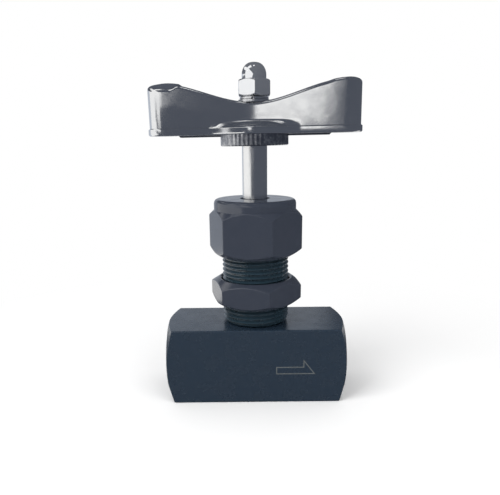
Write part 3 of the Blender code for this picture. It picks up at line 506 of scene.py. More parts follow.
@dataclass(frozen=True)
class PolygonOutline:
    """A regular polygon with rounded corners, with one flat's middle at a given yaw."""

    sides: int
    flats: float
    corner_radius: float
    yaw: float

    def __post_init__(self) -> None:
        """Check that the corners leave some flat."""
        if self.corner_radius >= self.flats / 2:
            raise ValueError("the corner radius leaves no flat")

    @property
    def sector(self) -> float:
        """Half of the angle that one flat takes."""
        return math.pi / self.sides

    @property
    def corner_centre(self) -> float:
        """How far the middle of a corner's arc lies from the axis."""
        return (self.flats / 2 - self.corner_radius) / math.cos(self.sector)

    @property
    def corner_reach(self) -> float:
        """The angle from a corner to where its arc meets the flat."""
        return math.atan2(self.corner_radius * math.sin(self.sector),
                          self.corner_centre + self.corner_radius * math.cos(self.sector))

    @property
    def widest(self) -> float:
        """The radius at a sharp corner."""
        return self.flats / 2 / math.cos(self.sector)

    def radius(self, angle: float) -> float:
        """The outline's distance from the axis at an angle.

        Args:
            angle: Radians from +X.

        Returns:
            The radius there.
        """
        turn = (angle - self.yaw + self.sector) % (2 * self.sector) - self.sector
        from_corner = self.sector - abs(turn)
        if from_corner < self.corner_reach:
            middle = self.corner_centre
            across = middle * math.sin(from_corner)
            return middle * math.cos(from_corner) + math.sqrt(
                max(0.0, self.corner_radius ** 2 - across ** 2))
        return self.flats / 2 / math.cos(turn)

    def angles(self, flat_steps: int = 8, corner_steps: int = 2) -> list[float]:
        """Angles at which a surface on this outline has its columns.

        Args:
            flat_steps: Columns on each half of a flat.
            corner_steps: Columns on each half of a corner.

        Returns:
            The angles, rising through one turn.
        """
        edge = self.sector - self.corner_reach
        half = [math.atan(math.tan(edge) * step / flat_steps) for step in range(flat_steps + 1)]
        half += [edge + self.corner_reach * step / corner_steps
                 for step in range(1, corner_steps + 1)]
        sector = [-angle for angle in reversed(half[1:-1])] + half
        return [self.yaw + 2 * self.sector * side + angle
                for side in range(self.sides) for angle in sector]


@dataclass(frozen=True)
class ThreadCutter:
    """The helical groove that a threading tool leaves, as a solid to cut with."""

    crest_radius: float
    pitch: float
    depth: float
    low: float
    high: float
    inside: bool = False
    facets: int = 72
    run_out: ClassVar[float] = 0.1 * MM
    flank: ClassVar[float] = math.pi / 6
    mouth_share: ClassVar[float] = 7 / 16     # half of the groove's mouth in pitches

    def mesh(self) -> bmesh.types.BMesh:
        """Sweep the groove's section along its helix.

        Returns:
            The closed groove, right-handed about the Z axis.
        """
        way = 1.0 if self.inside else -1.0
        mouth = self.pitch * self.mouth_share
        floor = mouth - self.depth * math.tan(self.flank)
        lip = mouth + self.run_out * math.tan(self.flank)
        section = [(-way * self.run_out, -lip), (way * self.depth, -floor),
                   (way * self.depth, floor), (-way * self.run_out, lip)]
        steps = math.ceil((self.high - self.low) / self.pitch * self.facets)
        rings = []
        for step in range(steps + 1):
            angle = math.tau * step / self.facets
            height = self.low + self.pitch * step / self.facets
            rings.append([((self.crest_radius + out) * math.cos(angle),
                           (self.crest_radius + out) * math.sin(angle), height + up)
                          for out, up in section])
        return loft(rings)


class Piece:
    """One visible piece: a mesh object under work, then dressed and put on its body."""

    edge_width: ClassVar[float] = 0.35 * MM
    edge_angle: ClassVar[float] = math.radians(9.0)
    smooth_angle: ClassVar[float] = math.radians(38.0)

    def __init__(self, name: str, bm: bmesh.types.BMesh) -> None:
        """Take a mesh as a new object of the scene."""
        self.item = self._object(name, bm)

    @staticmethod
    def _object(name: str, bm: bmesh.types.BMesh) -> bpy.types.Object:
        """Turn a bmesh into an object of the scene.

        Args:
            name: The object's name.
            bm: Its mesh, which is used up.

        Returns:
            The object.
        """
        mesh = bpy.data.meshes.new(name)
        bm.to_mesh(mesh)
        bm.free()
        item = bpy.data.objects.new(name, mesh)
        bpy.context.scene.collection.objects.link(item)
        return item

    def combine(self, other: bmesh.types.BMesh, operation: str = 'DIFFERENCE') -> "Piece":
        """Cut this piece by a tool, or join one to it.

        Args:
            other: The tool's mesh, which is used up.
            operation: DIFFERENCE, UNION or INTERSECT.

        Returns:
            This piece.
        """
        tool = self._object("tool", other)
        step = self.item.modifiers.new("step", 'BOOLEAN')
        step.operation = operation
        step.solver = 'EXACT'
        step.object = tool
        graph = bpy.context.evaluated_depsgraph_get()
        graph.update()
        shaped = bpy.data.meshes.new_from_object(self.item.evaluated_get(graph))
        self.item.modifiers.clear()
        spares = (self.item.data, tool.data)
        self.item.data = shaped
        bpy.data.objects.remove(tool, do_unlink=True)
        bpy.data.batch_remove(spares)
        return self

    def mark_edges(self) -> None:
        """Store how open to rubbing each face is: 1 on the narrow strips along outer edges."""
        mesh = self.item.data
        bm = bmesh.new()
        bm.from_mesh(mesh)
        rubbed = []
        for face in bm.faces:
            longest = max(edge.calc_length() for edge in face.edges)
            narrow = face.calc_area() < longest * self.edge_width
            bends = [edge.calc_face_angle_signed(0.0) for edge in face.edges
                     if len(edge.link_faces) == 2]
            rubbed.append(1.0 if narrow and max(bends, default=0.0) > self.edge_angle else 0.0)
        bm.free()
        layer = mesh.attributes.new("wear", 'FLOAT', 'FACE')
        layer.data.foreach_set("value", rubbed)

    def dress(self, finish: Finish, body: Body, *stands_for: str) -> None:
        """Give the piece its finish, its place on a moving body and the nodes it replaces.

        Args:
            finish: What its surface is.
            body: The body that it moves with.
            stands_for: The CAD nodes that it replaces.
        """
        mesh = self.item.data
        mesh.materials.clear()
        mesh.materials.append(finish.material())
        self.mark_edges()
        mesh.shade_smooth()
        mesh.set_sharp_from_angle(angle=self.smooth_angle)
        normals = self.item.modifiers.new("normals", 'WEIGHTED_NORMAL')
        normals.keep_sharp = True
        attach(self.item, body.value)
        if stands_for:
            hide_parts(*stands_for)
        log.info("%s: %d faces on %s", self.item.name, len(mesh.polygons), body.value)


# The valve's pieces


@dataclass
class BarBody:
    """The square bar with its turned ends, threaded ports and bonnet cavity."""

    size: float = 25.4 * MM
    length: float = 59.5 * MM
    edge: float = 0.45 * MM
    end_angle: float = math.radians(22.0)
    face_inset: float = 0.2 * MM
    face_edge: float = 0.25 * MM
    port_radius: float = 6.6 * MM
    port_pitch: float = 1.337 * MM
    port_thread_depth: float = 0.8 * MM
    port_depth: float = 14.0 * MM
    mouth_chamfer: float = 0.45 * MM
    port_mouth: float = 0.8 * MM
    drill_point: float = math.radians(31.0)
    cavity_radius: float = 9.3 * MM
    cavity_floor: float = 19.45 * MM
    chamber_radius: float = 7.3 * MM
    chamber_floor: float = 10.45 * MM
    insert_radius: float = 4.8 * MM
    insert_floor: float = 7.95 * MM
    feed_radius: float = 2.0 * MM
    feed_floor: float = 3.35 * MM
    drilling_radius: float = 1.75 * MM
    inlet_drop: float = 4.05 * MM
    feed_drop: float = 8.2 * MM
    outlet_drop: float = 0.25 * MM

    @property
    def outline(self) -> PolygonOutline:
        """The bar's rounded square."""
        return PolygonOutline(4, self.size, self.edge, 0.0)

    def section(self, angle: float) -> Section:
        """The body's closed section at an angle round its long axis.

        Args:
            angle: Radians round the bar.

        Returns:
            Points of (distance from the bar's axis, place along it).
        """
        wall = self.outline.radius(angle)
        end = self.length / 2
        face = self.size / 2 - self.face_inset
        cone_end = end - (wall - face) * math.tan(self.end_angle)
        bore = self.port_radius - self.port_thread_depth
        floor = end - self.port_depth
        point = floor - bore * math.tan(self.drill_point)
        mouth = self.port_radius + self.port_mouth
        half: list[Corner] = [
            (bore, floor), (bore, end - (mouth - bore)), (mouth, end),
            (face, end, self.face_edge), (wall, cone_end, self.face_edge)]
        left: list[Corner] = [(x, -y, *reach) for x, y, *reach in half]
        return soften([(0.0, -point), *left, *half[::-1], (0.0, point)])

    def cavity(self) -> bmesh.types.BMesh:
        """Make the cutter of what is bored from the top.

        Returns:
            The bonnet's bore, the chamber, the insert's pocket and the feed hole in one.
        """
        over = self.size + OVERRUN
        mouth = self.cavity_radius + self.mouth_chamfer
        floors = [(self.feed_radius, self.feed_floor), (self.insert_radius, self.insert_floor),
                  (self.chamber_radius, self.chamber_floor),
                  (self.cavity_radius, self.cavity_floor)]
        section: list[Corner] = [(0.0, self.feed_floor)]
        for (radius, floor), above in zip(floors, floors[1:] + [(0.0, self.size)]):
            top = above[1] - (self.mouth_chamfer if radius == self.cavity_radius else 0.0)
            section += [(radius, floor), (radius, top)]
        return lathe([*section, (mouth, self.size), (mouth, over), (0.0, over)], facets=64)

    def drilling(self, start: Vector, end: Vector) -> bmesh.types.BMesh:
        """A small hole's cutter.

        Args:
            start: One end of its axis.
            end: The other end.

        Returns:
            The cutter.
        """
        run = end - start
        bm = rotated(plug(self.drilling_radius, 0.0, run.length, facets=24),
                     run.to_track_quat('Z', 'Y').to_matrix())
        bmesh.ops.translate(bm, verts=bm.verts, vec=start)
        return bm

    def build(self) -> Piece:
        """Make the bar, then bore and thread it.

        Returns:
            The undressed body.
        """
        middle = self.size / 2
        floor = self.length / 2 - self.port_depth
        profile = self.outline.angles(flat_steps=12, corner_steps=3)
        bar = shift(lay_along_x(spun(self.section, profile)), middle)
        piece = Piece("bar_body", bar).combine(self.cavity())
        for side in Side:
            thread = ThreadCutter(
                self.port_radius - self.port_thread_depth, self.port_pitch,
                self.port_thread_depth, floor, self.length / 2 + self.port_pitch,
                inside=True).mesh()
            lay_along_x(thread)
            if side is Side.LEFT:
                rotated(thread, Matrix.Rotation(math.pi, 3, 'Z'))
            piece.combine(shift(thread, middle))
        reach = floor + self.drilling_radius
        for start, end in (((-reach, self.inlet_drop), (0.0, self.feed_drop)),
                           ((self.chamber_radius / 2, self.outlet_drop),
                            (reach, self.outlet_drop))):
            piece.combine(self.drilling(*(Vector((x, 0.0, middle - drop))
                                          for x, drop in (start, end))))
        return piece

    def dress(self) -> None:
        """Build the body and put it in place of its node."""
        self.build().dress(BODY_BLACK, Body.HOUSING, "valve_body")


@dataclass
class FlowMark:
    """The outlined half arrow on the front face that points to the outlet."""

    line: float = 0.28 * MM
    proud: float = 0.012 * MM
    front: float = -12.7 * MM
    tail: Pair = (6.6 * MM, 10.25 * MM)
    length: float = 12.45 * MM
    shaft_height: float = 2.3 * MM
    head_length: float = 3.5 * MM
    head_height: float = 4.6 * MM
    sharpest: ClassVar[float] = 0.35     # keeps the band's corners from running out

    def corners(self) -> list[Vector]:
        """Lay out the arrow on the front face.

        Returns:
            Its corners, as (x, height).
        """
        x, z = self.tail
        neck = x + self.length - self.head_length
        return [Vector((x, z)), Vector((x + self.length, z)),
                Vector((neck, z + self.head_height)), Vector((neck, z + self.shaft_height)),
                Vector((x, z + self.shaft_height))]

    def build(self) -> Piece:
        """Make the outline as a thin closed band.

        Returns:
            The undressed mark.
        """
        corners = self.corners()
        bands = []
        for index, corner in enumerate(corners):
            back = (corner - corners[index - 1]).normalized()
            ahead = (corners[(index + 1) % len(corners)] - corner).normalized()
            side = Vector((back.y + ahead.y, -back.x - ahead.x)).normalized()
            reach = self.line / 2 / max(self.sharpest, side.dot(Vector((back.y, -back.x))))
            band = []
            for way, depth in ((-1, -1), (1, -1), (1, 1), (-1, 1)):
                point = corner + side * reach * way
                band.append((point.x, self.front + depth * self.proud, point.y))
            bands.append(band)
        return Piece("flow_arrow", loft(bands, caps=False, closed=True))

    def dress(self) -> None:
        """Build the mark and set it on the housing."""
        self.build().dress(ETCHED_LINE, Body.HOUSING)


@dataclass
class Bonnet:
    """The long sleeve with the panel thread outside and the packing box inside."""

    foot: float = 14.75 * MM
    shoulder: float = 25.7 * MM
    top: float = 57.9 * MM
    crest_radius: float = 11.0 * MM
    thread_pitch: float = 1.5 * MM
    thread_depth: float = 0.92 * MM
    chamfer: float = 0.95 * MM
    nose_radius: float = 7.0 * MM
    root_radius: float = 9.0 * MM
    root_foot: float = 19.75 * MM
    groove_low: float = 15.75 * MM
    groove_high: float = 18.75 * MM
    groove_radius: float = 5.2 * MM
    guide_radius: float = 3.8 * MM
    guide_top: float = 20.05 * MM
    bore_radius: float = 5.3 * MM
    stop_face: float = 42.9 * MM
    stem_hole_radius: float = 4.3 * MM
    box_floor: float = 45.4 * MM
    box_radius: float = 7.3 * MM
    edge: float = 0.5 * MM
    shoulder_edge: float = 0.15 * MM
    thread_run_in: float = 0.4 * MM

    def build(self) -> Piece:
        """Turn the sleeve and cut its outside thread.

        Returns:
            The undressed bonnet.
        """
        section: list[Corner] = [
            (self.guide_radius, self.foot), (self.nose_radius, self.foot, self.edge),
            (self.nose_radius, self.groove_low), (self.groove_radius, self.groove_low),
            (self.groove_radius, self.groove_high), (self.nose_radius, self.groove_high),
            (self.nose_radius, self.root_foot), (self.root_radius, self.root_foot, self.edge),
            (self.root_radius, self.shoulder),
            (self.crest_radius - self.chamfer, self.shoulder, self.shoulder_edge),
            (self.crest_radius, self.shoulder + self.chamfer),
            (self.crest_radius, self.top - self.chamfer),
            (self.crest_radius - self.chamfer, self.top),
            (self.box_radius, self.top), (self.box_radius, self.box_floor),
            (self.stem_hole_radius, self.box_floor), (self.stem_hole_radius, self.stop_face),
            (self.bore_radius, self.stop_face), (self.bore_radius, self.guide_top),
            (self.guide_radius, self.guide_top)]
        groove = ThreadCutter(self.crest_radius, self.thread_pitch, self.thread_depth,
                              self.shoulder - self.thread_run_in,
                              self.top + self.thread_pitch)
        return Piece("threaded_bonnet", lathe(section, facets=72)).combine(groove.mesh())

    def dress(self) -> None:
        """Build the bonnet and put it in place of its node."""
        self.build().dress(THREAD_BLACK, Body.HOUSING, "bonnet")


@dataclass
class HexNut:
    """A hexagon nut on the bonnet's thread, with a flat to the front."""

    yaw: float
    foot: float
    height: float
    edge: float
    flats: float = 27.0 * MM
    face_radius: float = 12.2 * MM
    face_edge: float = 0.12 * MM
    chamfer_height: float = 2.2 * MM
    bore_radius: float = 11.3 * MM
    mouth: float = 0.5 * MM

    @property
    def outline(self) -> PolygonOutline:
        """The hexagon."""
        return PolygonOutline(6, self.flats, self.edge, self.yaw - math.pi / 2)

    def slope(self, drop: float, radius: float, wall: float) -> float:
        """How far a cone that cuts the corners has come at the hexagon's wall.

        Args:
            drop: The cone's height from its inner edge to the hexagon's corners.
            radius: The radius of its inner edge.
            wall: The hexagon's radius at this angle.

        Returns:
            The height.
        """
        return drop * (wall - radius) / (self.outline.widest - radius)


@dataclass
class LockNut(HexNut):
    """The thin nut that clamps a panel, chamfered on both faces."""

    yaw: float = math.radians(-14.4)
    foot: float = 31.75 * MM
    height: float = 8.8 * MM
    edge: float = 0.3 * MM

    def section(self, angle: float) -> Section:
        """The nut's closed section at an angle.

        Args:
            angle: Radians round the stem's axis.

        Returns:
            Points of (radius, height over the nut's foot).
        """
        wall = self.outline.radius(angle)
        rise = self.slope(self.chamfer_height, self.face_radius, wall)
        bore = self.bore_radius
        return soften([
            (bore + self.mouth, 0.0), (self.face_radius, 0.0, self.face_edge),
            (wall, rise, self.edge), (wall, self.height - rise, self.edge),
            (self.face_radius, self.height, self.face_edge), (bore + self.mouth, self.height),
            (bore, self.height - self.mouth), (bore, self.mouth)])

    def dress(self) -> None:
        """Build the nut and put it in place of its node."""
        nut = shift(spun(self.section, self.outline.angles()), self.foot)
        Piece("panel_lock_nut", nut).dress(NUT_BLACK, Body.LOCK_NUT, "lock_nut")


@dataclass
class PackingNut(HexNut):
    """The deep nut with a sloping shoulder and a round collar."""

    yaw: float = math.radians(-11.0)
    foot: float = 48.2 * MM
    height: float = 18.4 * MM
    edge: float = 0.35 * MM
    collar_radius: float = 13.4 * MM
    collar_height: float = 3.5 * MM
    collar_edge: float = 1.7 * MM
    shoulder_height: float = 2.1 * MM
    shoulder_edge: float = 0.2 * MM
    hole_radius: float = 4.45 * MM
    hole_edge: float = 0.15 * MM
    recess_radius: float = 9.9 * MM
    recess_foot: float = 10.0 * MM
    roof: float = 12.7 * MM

    def section(self, angle: float) -> Section:
        """The nut's closed section at an angle.

        Args:
            angle: Radians round the stem's axis.

        Returns:
            Points of (radius, height over the nut's foot).
        """
        wall = self.outline.radius(angle)
        rise = self.slope(self.chamfer_height, self.face_radius, wall)
        collar_foot = self.height - self.collar_height
        fall = self.slope(self.shoulder_height, self.collar_radius, wall)
        hole = self.hole_radius
        bore = self.bore_radius
        return soften([
            (bore + self.mouth, 0.0), (self.face_radius, 0.0, self.face_edge),
            (wall, rise, self.edge), (wall, collar_foot - fall, self.shoulder_edge),
            (self.collar_radius, collar_foot, self.face_edge),
            (self.collar_radius, self.height, self.collar_edge),
            (hole + self.mouth, self.height, self.hole_edge), (hole, self.height - self.mouth),
            (hole, self.roof), (self.recess_radius, self.roof),
            (self.recess_radius, self.recess_foot), (bore, self.recess_foot),
            (bore, self.mouth)], steps=4)

    def dress(self) -> None:
        """Build the nut and put it in place of its node."""
        profile = self.outline.angles(flat_steps=10, corner_steps=2)
        nut = shift(spun(self.section, profile), self.foot)
        Piece("collared_nut", nut).dress(NUT_BLACK, Body.HOUSING, "packing_nut")


@dataclass
class Stem:
    """The bright spindle with its drive square and stud."""

    end: float = 28.15 * MM
    radius: float = 4.0 * MM
    collar_radius: float = 4.6 * MM
    thread_radius: float = 5.0 * MM
    thread_foot: float = 31.1 * MM
    thread_top: float = 42.6 * MM
    thread_pitch: float = 1.5 * MM
    thread_depth: float = 0.7 * MM
    thread_edge: float = 0.2 * MM
    bevel: float = 0.5 * MM
    socket_radius: float = 2.5 * MM
    socket_top: float = 35.95 * MM
    groove_radius: float = 3.05 * MM
    groove_middle: float = 30.3 * MM
    groove_half: float = 0.55 * MM
    square_size: float = 5.6 * MM
    square_edge: float = 0.3 * MM
    square_foot: float = 85.85 * MM
    square_top: float = 95.75 * MM
    stud_radius: float = 2.5 * MM
    stud_top: float = 102.35 * MM
    yaw: float = math.radians(-4.5)

    @property
    def square(self) -> PolygonOutline:
        """The drive square under the handle."""
        return PolygonOutline(4, self.square_size, self.square_edge, self.yaw)

    def section(self, angle: float) -> Section:
        """The stem's closed section at an angle, round but for its drive square.

        Args:
            angle: Radians round the axis.

        Returns:
            Points of (radius, height).
        """
        drive = min(self.radius, self.square.radius(angle))
        low = self.groove_middle - self.groove_half
        high = self.groove_middle + self.groove_half
        return soften([
            (self.socket_radius, self.end), (self.collar_radius, self.end, self.bevel),
            (self.collar_radius, self.thread_foot),
            (self.thread_radius, self.thread_foot, self.thread_edge),
            (self.thread_radius, self.thread_top, self.bevel), (self.radius, self.thread_top),
            (self.radius, self.square_foot), (drive, self.square_foot),
            (drive, self.square_top), (min(drive, self.stud_radius), self.square_top),
            (self.stud_radius, self.stud_top, self.bevel), (0.0, self.stud_top),
            (0.0, self.socket_top), (self.socket_radius, self.socket_top),
            (self.socket_radius, high), (self.groove_radius, high), (self.groove_radius, low),
            (self.socket_radius, low)])

    def dress(self) -> None:
        """Build the stem, cut its drive thread and put it in place of its node."""
        profile = self.square.angles(flat_steps=10, corner_steps=2)
        stem = Piece("spindle_stem", spun(self.section, profile))
        stem.combine(ThreadCutter(self.thread_radius, self.thread_pitch, self.thread_depth,
                                  self.thread_foot - self.thread_pitch,
                                  self.thread_top + self.thread_pitch, facets=40).mesh())
        stem.dress(GROUND_STEEL, Body.SPINDLE, "stem")


@dataclass
class Handle:
    """The die-cast bar handle: saddle-backed, waisted, cored below, fluted at its boss."""

    length: float = 67.0 * MM
    foot: float = 86.6 * MM
    yaw: float = math.radians(-4.5)
    tilt: float = math.radians(-0.65)
    waist: float = 5.0 * MM
    waist_softness: float = 4.0 * MM
    lobe_depth: float = 8.5 * MM
    lobe_corner: float = 29.8 * MM
    corner_reach: float = 2.0 * MM
    boss_radius: float = 10.7 * MM
    boss_height: float = 3.45 * MM
    shaft_recess: float = 3.0 * MM
    flutes: int = 48
    flute_depth: float = 0.16 * MM
    boss_edge: float = 0.25 * MM
    hub_bulge: float = 6.2 * MM
    hub_reach: float = 14.5 * MM
    hub_height: float = 4.4 * MM
    hub_fade: float = 2.2
    lip_height: float = 2.1 * MM
    lip_step: float = 0.45 * MM
    lip_start: float = 0.35 * MM
    lip_bend: Pair = (0.12 * MM, 0.06 * MM)
    lip_share: float = 0.6
    lip_run: float = 0.1 * MM
    lip_edge: float = 0.55 * MM
    saddle_height: float = 9.5 * MM
    lobe_rise: float = 5.75 * MM
    lobe_crest: float = 28.8 * MM
    left_lean: float = 1.65 * MM
    right_lean: float = -0.35 * MM
    lean_start: float = 22.3 * MM
    lean_run: float = 2.4 * MM
    top_edge: float = 1.1 * MM
    spot_radius: float = 5.5 * MM
    spot_sink: float = 0.2 * MM
    rib_width: float = 2.4 * MM
    rib_drop: float = 0.6 * MM
    rib_reach: float = 24.0 * MM
    pocket_start: float = 13.0 * MM
    pocket_end: float = 28.0 * MM
    wall_thickness: float = 1.8 * MM
    top_thickness: float = 2.6 * MM
    core_draft: float = 0.4 * MM
    square_side: float = 6.2 * MM
    square_edge: float = 0.3 * MM
    shaft_radius: float = 4.3 * MM
    underside_top: float = 0.1 * MM
    side_steps: ClassVar[int] = 34
    corner_steps: ClassVar[int] = 6
    tip_steps: ClassVar[int] = 18
    foot_steps: ClassVar[int] = 4
    hub_steps: ClassVar[int] = 8
    flank_steps: ClassVar[int] = 5
    edge_steps: ClassVar[int] = 6
    core_steps: ClassVar[int] = 8
    flute_steps: ClassVar[int] = 6

    def wall(self, x: float) -> float:
        """Half of the handle's depth along its straight sides.

        Args:
            x: Distance from the middle.

        Returns:
            The half depth.
        """
        soft = self.waist_softness
        share = (math.hypot(x, soft) - soft) / (math.hypot(self.lobe_corner, soft) - soft)
        return self.waist + (self.lobe_depth - self.waist) * share

    def half_plan(self) -> Section:
        """Draw a quarter of the outline, from the middle to one tip.

        Returns:
            Points of (x, half depth).
        """
        tip = self.length / 2
        run = tip - self.lobe_corner
        arc = (run ** 2 + self.lobe_depth ** 2) / (2 * run)
        last = self.lobe_corner - self.corner_reach
        places = [last * step / self.side_steps for step in range(self.side_steps + 1)]
        points = [(x, self.wall(x)) for x in places]
        turn = math.asin(self.lobe_depth / arc) - self.corner_reach / arc
        start = Vector(points[-1])
        corner = Vector((self.lobe_corner, self.lobe_depth))
        end = Vector((tip - arc + arc * math.cos(turn), arc * math.sin(turn)))
        points += [bent(start, corner, end, step / self.corner_steps)
                   for step in range(1, self.corner_steps)]
        for step in range(self.tip_steps):
            angle = turn * (1 - step / self.tip_steps)
            points.append((tip - arc + arc * math.cos(angle), arc * math.sin(angle)))
        points.append((tip, 0.0))
        return points

    def loop(self, bulge: float, inset: float) -> Section:
        """The closed outline, from the left tip along the front and back along the rear.

        Args:
            bulge: The share of the hub's bulge that swells it.
            inset: How far it moves inwards.

        Returns:
            Points of (x, y).
        """
        right = self.half_plan()
        front = [(-x, depth) for x, depth in reversed(right[1:])] + right
        swollen = []
        for x, depth in front:
            near = math.cos(math.pi / 2 * min(1.0, abs(x) / self.hub_reach)) ** 2
            swollen.append((x, depth + bulge * self.hub_bulge * near))
        loop = [(x, -depth) for x, depth in swollen]
        loop += [(x, depth) for x, depth in reversed(swollen[1:-1])]
        moved = []
        for index, (x, y) in enumerate(loop):
            along = Vector(loop[(index + 1) % len(loop)]) - Vector(loop[index - 1])
            along.normalize()
            moved.append((x - along.y * inset, y + along.x * inset))
        return moved

    def saddle(self, x: float, y: float) -> float:
        """The top's height over the underside, low in the middle and leaning at the lobes.

        Args:
            x: Place along the handle.
            y: Place across it.

        Returns:
            The height.
        """
        reach = min(1.0, abs(x) / self.lobe_crest)
        rise = self.lobe_rise * (1 - math.cos(math.pi * reach)) / 2
        share = min(1.0, max(0.0, (abs(x) - self.lean_start) / self.lean_run))
        share = share * share * (3 - 2 * share)
        lean = self.right_lean if x > 0 else self.left_lean
        return self.saddle_height + rise + lean * share * y / self.lobe_depth

    def loops(self) -> list[list[Vector]]:
        """Draw the outlines that the casting is lofted through.

        Returns:
            The outlines from the underside up.
        """
        edge = self.lip_edge
        lip = self.lip_height
        bends = [math.pi / 2 * step / self.foot_steps for step in range(self.foot_steps + 1)]
        flat = [(edge * (1 - math.cos(bend)), 1.0, edge * (1 - math.sin(bend)))
                for bend in bends]
        flat += [(lip - self.lip_start, 1.0, 0.0),
                 (lip - self.lip_bend[0], 1.0, self.lip_bend[1]),
                 (lip, 1.0, self.lip_step * self.lip_share),
                 (lip + self.lip_run, 1.0, self.lip_step)]
        for step in range(1, self.hub_steps + 1):
            share = step / self.hub_steps
            flat.append((lip + self.lip_run + (self.hub_height - lip) * share,
                         (1 - share) ** self.hub_fade, self.lip_step))
        made = [[Vector((x, y, height)) for x, y in self.loop(bulge, inset)]
                for height, bulge, inset in flat]
        start = flat[-1][0]
        for step in range(1, self.flank_steps + 1):
            ring = []
            for x, y in self.loop(0.0, self.lip_step):
                top = self.saddle(x, y) - self.top_edge
                ring.append(Vector((x, y, start + (top - start) * step / self.flank_steps)))
            made.append(ring)
        for step in range(1, self.edge_steps + 1):
            angle = math.pi / 2 * step / self.edge_steps
            inset = self.lip_step + self.top_edge * (1 - math.cos(angle))
            drop = self.top_edge * (1 - math.sin(angle))
            made.append([Vector((x, y, self.saddle(x, y) - drop))
                         for x, y in self.loop(0.0, inset)])
        return made

    def casting(self) -> bmesh.types.BMesh:
        """Loft the handle's solid form and fill both ends with strips across it.

        Returns:
            The solid form.
        """
        loops = self.loops()
        count = len(loops[0])
        bm = loft(loops, caps=False)
        bm.verts.ensure_lookup_table()
        for ring, way in ((bm.verts[:count], -1), (bm.verts[-count:], 1)):
            for index in range(count // 2):
                corners = [ring[index], ring[index + 1], ring[(count - index - 1) % count],
                           ring[(count - index) % count]]
                bm.faces.new(list(dict.fromkeys(corners))[::way])
        bmesh.ops.recalc_face_normals(bm, faces=bm.faces)
        return bm

    def pocket(self, along: Side, across: int) -> bmesh.types.BMesh:
        """A cored pocket beside the rib.

        Args:
            along: The end of the handle that it is in.
            across: -1 in front of the rib, 1 behind it.

        Returns:
            The pocket's cutter.
        """
        columns = []
        low = -self.rib_drop - OVERRUN
        for step in range(self.core_steps + 1):
            x = self.pocket_start
            x += (self.pocket_end - self.pocket_start) * step / self.core_steps
            inner = self.rib_width / 2
            outer = self.wall(min(x, self.lobe_corner)) - self.wall_thickness
            column = [(inner, low), (outer, low)]
            for y in (outer - self.core_draft, inner + self.core_draft):
                column.append((y, self.saddle(along.value * x, across * y) - self.top_thickness))
            columns.append([(along.value * x, across * y, z) for y, z in column])
        return loft(columns)

    def rib(self) -> bmesh.types.BMesh:
        """Make the rib along the underside, which stands a little below the lip.

        Returns:
            The rib.
        """
        half = self.rib_width / 2
        drop = self.rib_drop
        profile = [(-self.rib_reach, 0.0), (-self.rib_reach + drop, -drop),
                   (self.rib_reach - drop, -drop), (self.rib_reach, 0.0),
                   (self.rib_reach, self.lip_height), (-self.rib_reach, self.lip_height)]
        return loft([[(x, y, z) for x, z in profile] for y in (-half, half)])

    def boss(self) -> bmesh.types.BMesh:
        """Make the round boss under the hub with its fine upright flutes.

        Returns:
            The boss.
        """
        each = self.flute_steps
        steps = self.flutes * each
        foot = -self.boss_height
        top = self.lip_height / 2

        def section_at(angle: float) -> Section:
            """The boss's section, its wall on the flutes' wave."""
            turn = math.tau * (round(angle / math.tau * steps) % each) / each
            radius = self.boss_radius - self.flute_depth * (0.5 - 0.5 * math.cos(turn))
            return [(0.0, foot), (radius - self.boss_edge, foot),
                    (radius, foot + self.boss_edge), (radius, top), (0.0, top)]

        return spun(section_at, [math.tau * index / steps for index in range(steps)])

    def build(self) -> Piece:
        """Cast the handle, core it below and machine its seats.

        Returns:
            The undressed handle, in its place on the stem.
        """
        piece = Piece("bar_handle", self.casting())
        for along in Side:
            for across in (-1, 1):
                piece.combine(self.pocket(along, across))
        piece.combine(self.rib(), 'UNION')
        piece.combine(self.boss(), 'UNION')
        recess_top = self.shaft_recess - self.boss_height
        piece.combine(plug(self.shaft_radius, -self.boss_height - OVERRUN, recess_top))
        hole = PolygonOutline(4, self.square_side, self.square_edge, 0.0)
        foot = recess_top - OVERRUN
        top = self.saddle_height + OVERRUN
        piece.combine(spun(lambda angle: [(0.0, foot), (hole.radius(angle), foot),
                                          (hole.radius(angle), top), (0.0, top)],
                           hole.angles(flat_steps=2, corner_steps=2)))
        spot = self.saddle_height - self.spot_sink
        piece.combine(plug(self.spot_radius, spot, spot + self.lobe_rise))
        # painted shade: mark the faces below the handle's underside level, which its finish
        # darkens
        mesh = piece.item.data
        layer = mesh.attributes.new("painted_underside_shade", 'FLOAT', 'FACE')
        layer.data.foreach_set("value", [float(face.center.z < self.underside_top)
                                         for face in mesh.polygons])
        mesh.transform(Matrix.Translation((0.0, 0.0, self.foot))
                       @ Matrix.Rotation(self.yaw, 4, 'Z')
                       @ Matrix.Rotation(self.tilt, 4, 'Y'))
        return piece

    def dress(self) -> None:
        """Build the handle and put it in place of its node."""
        self.build().dress(DIE_CAST, Body.SPINDLE, "handle")


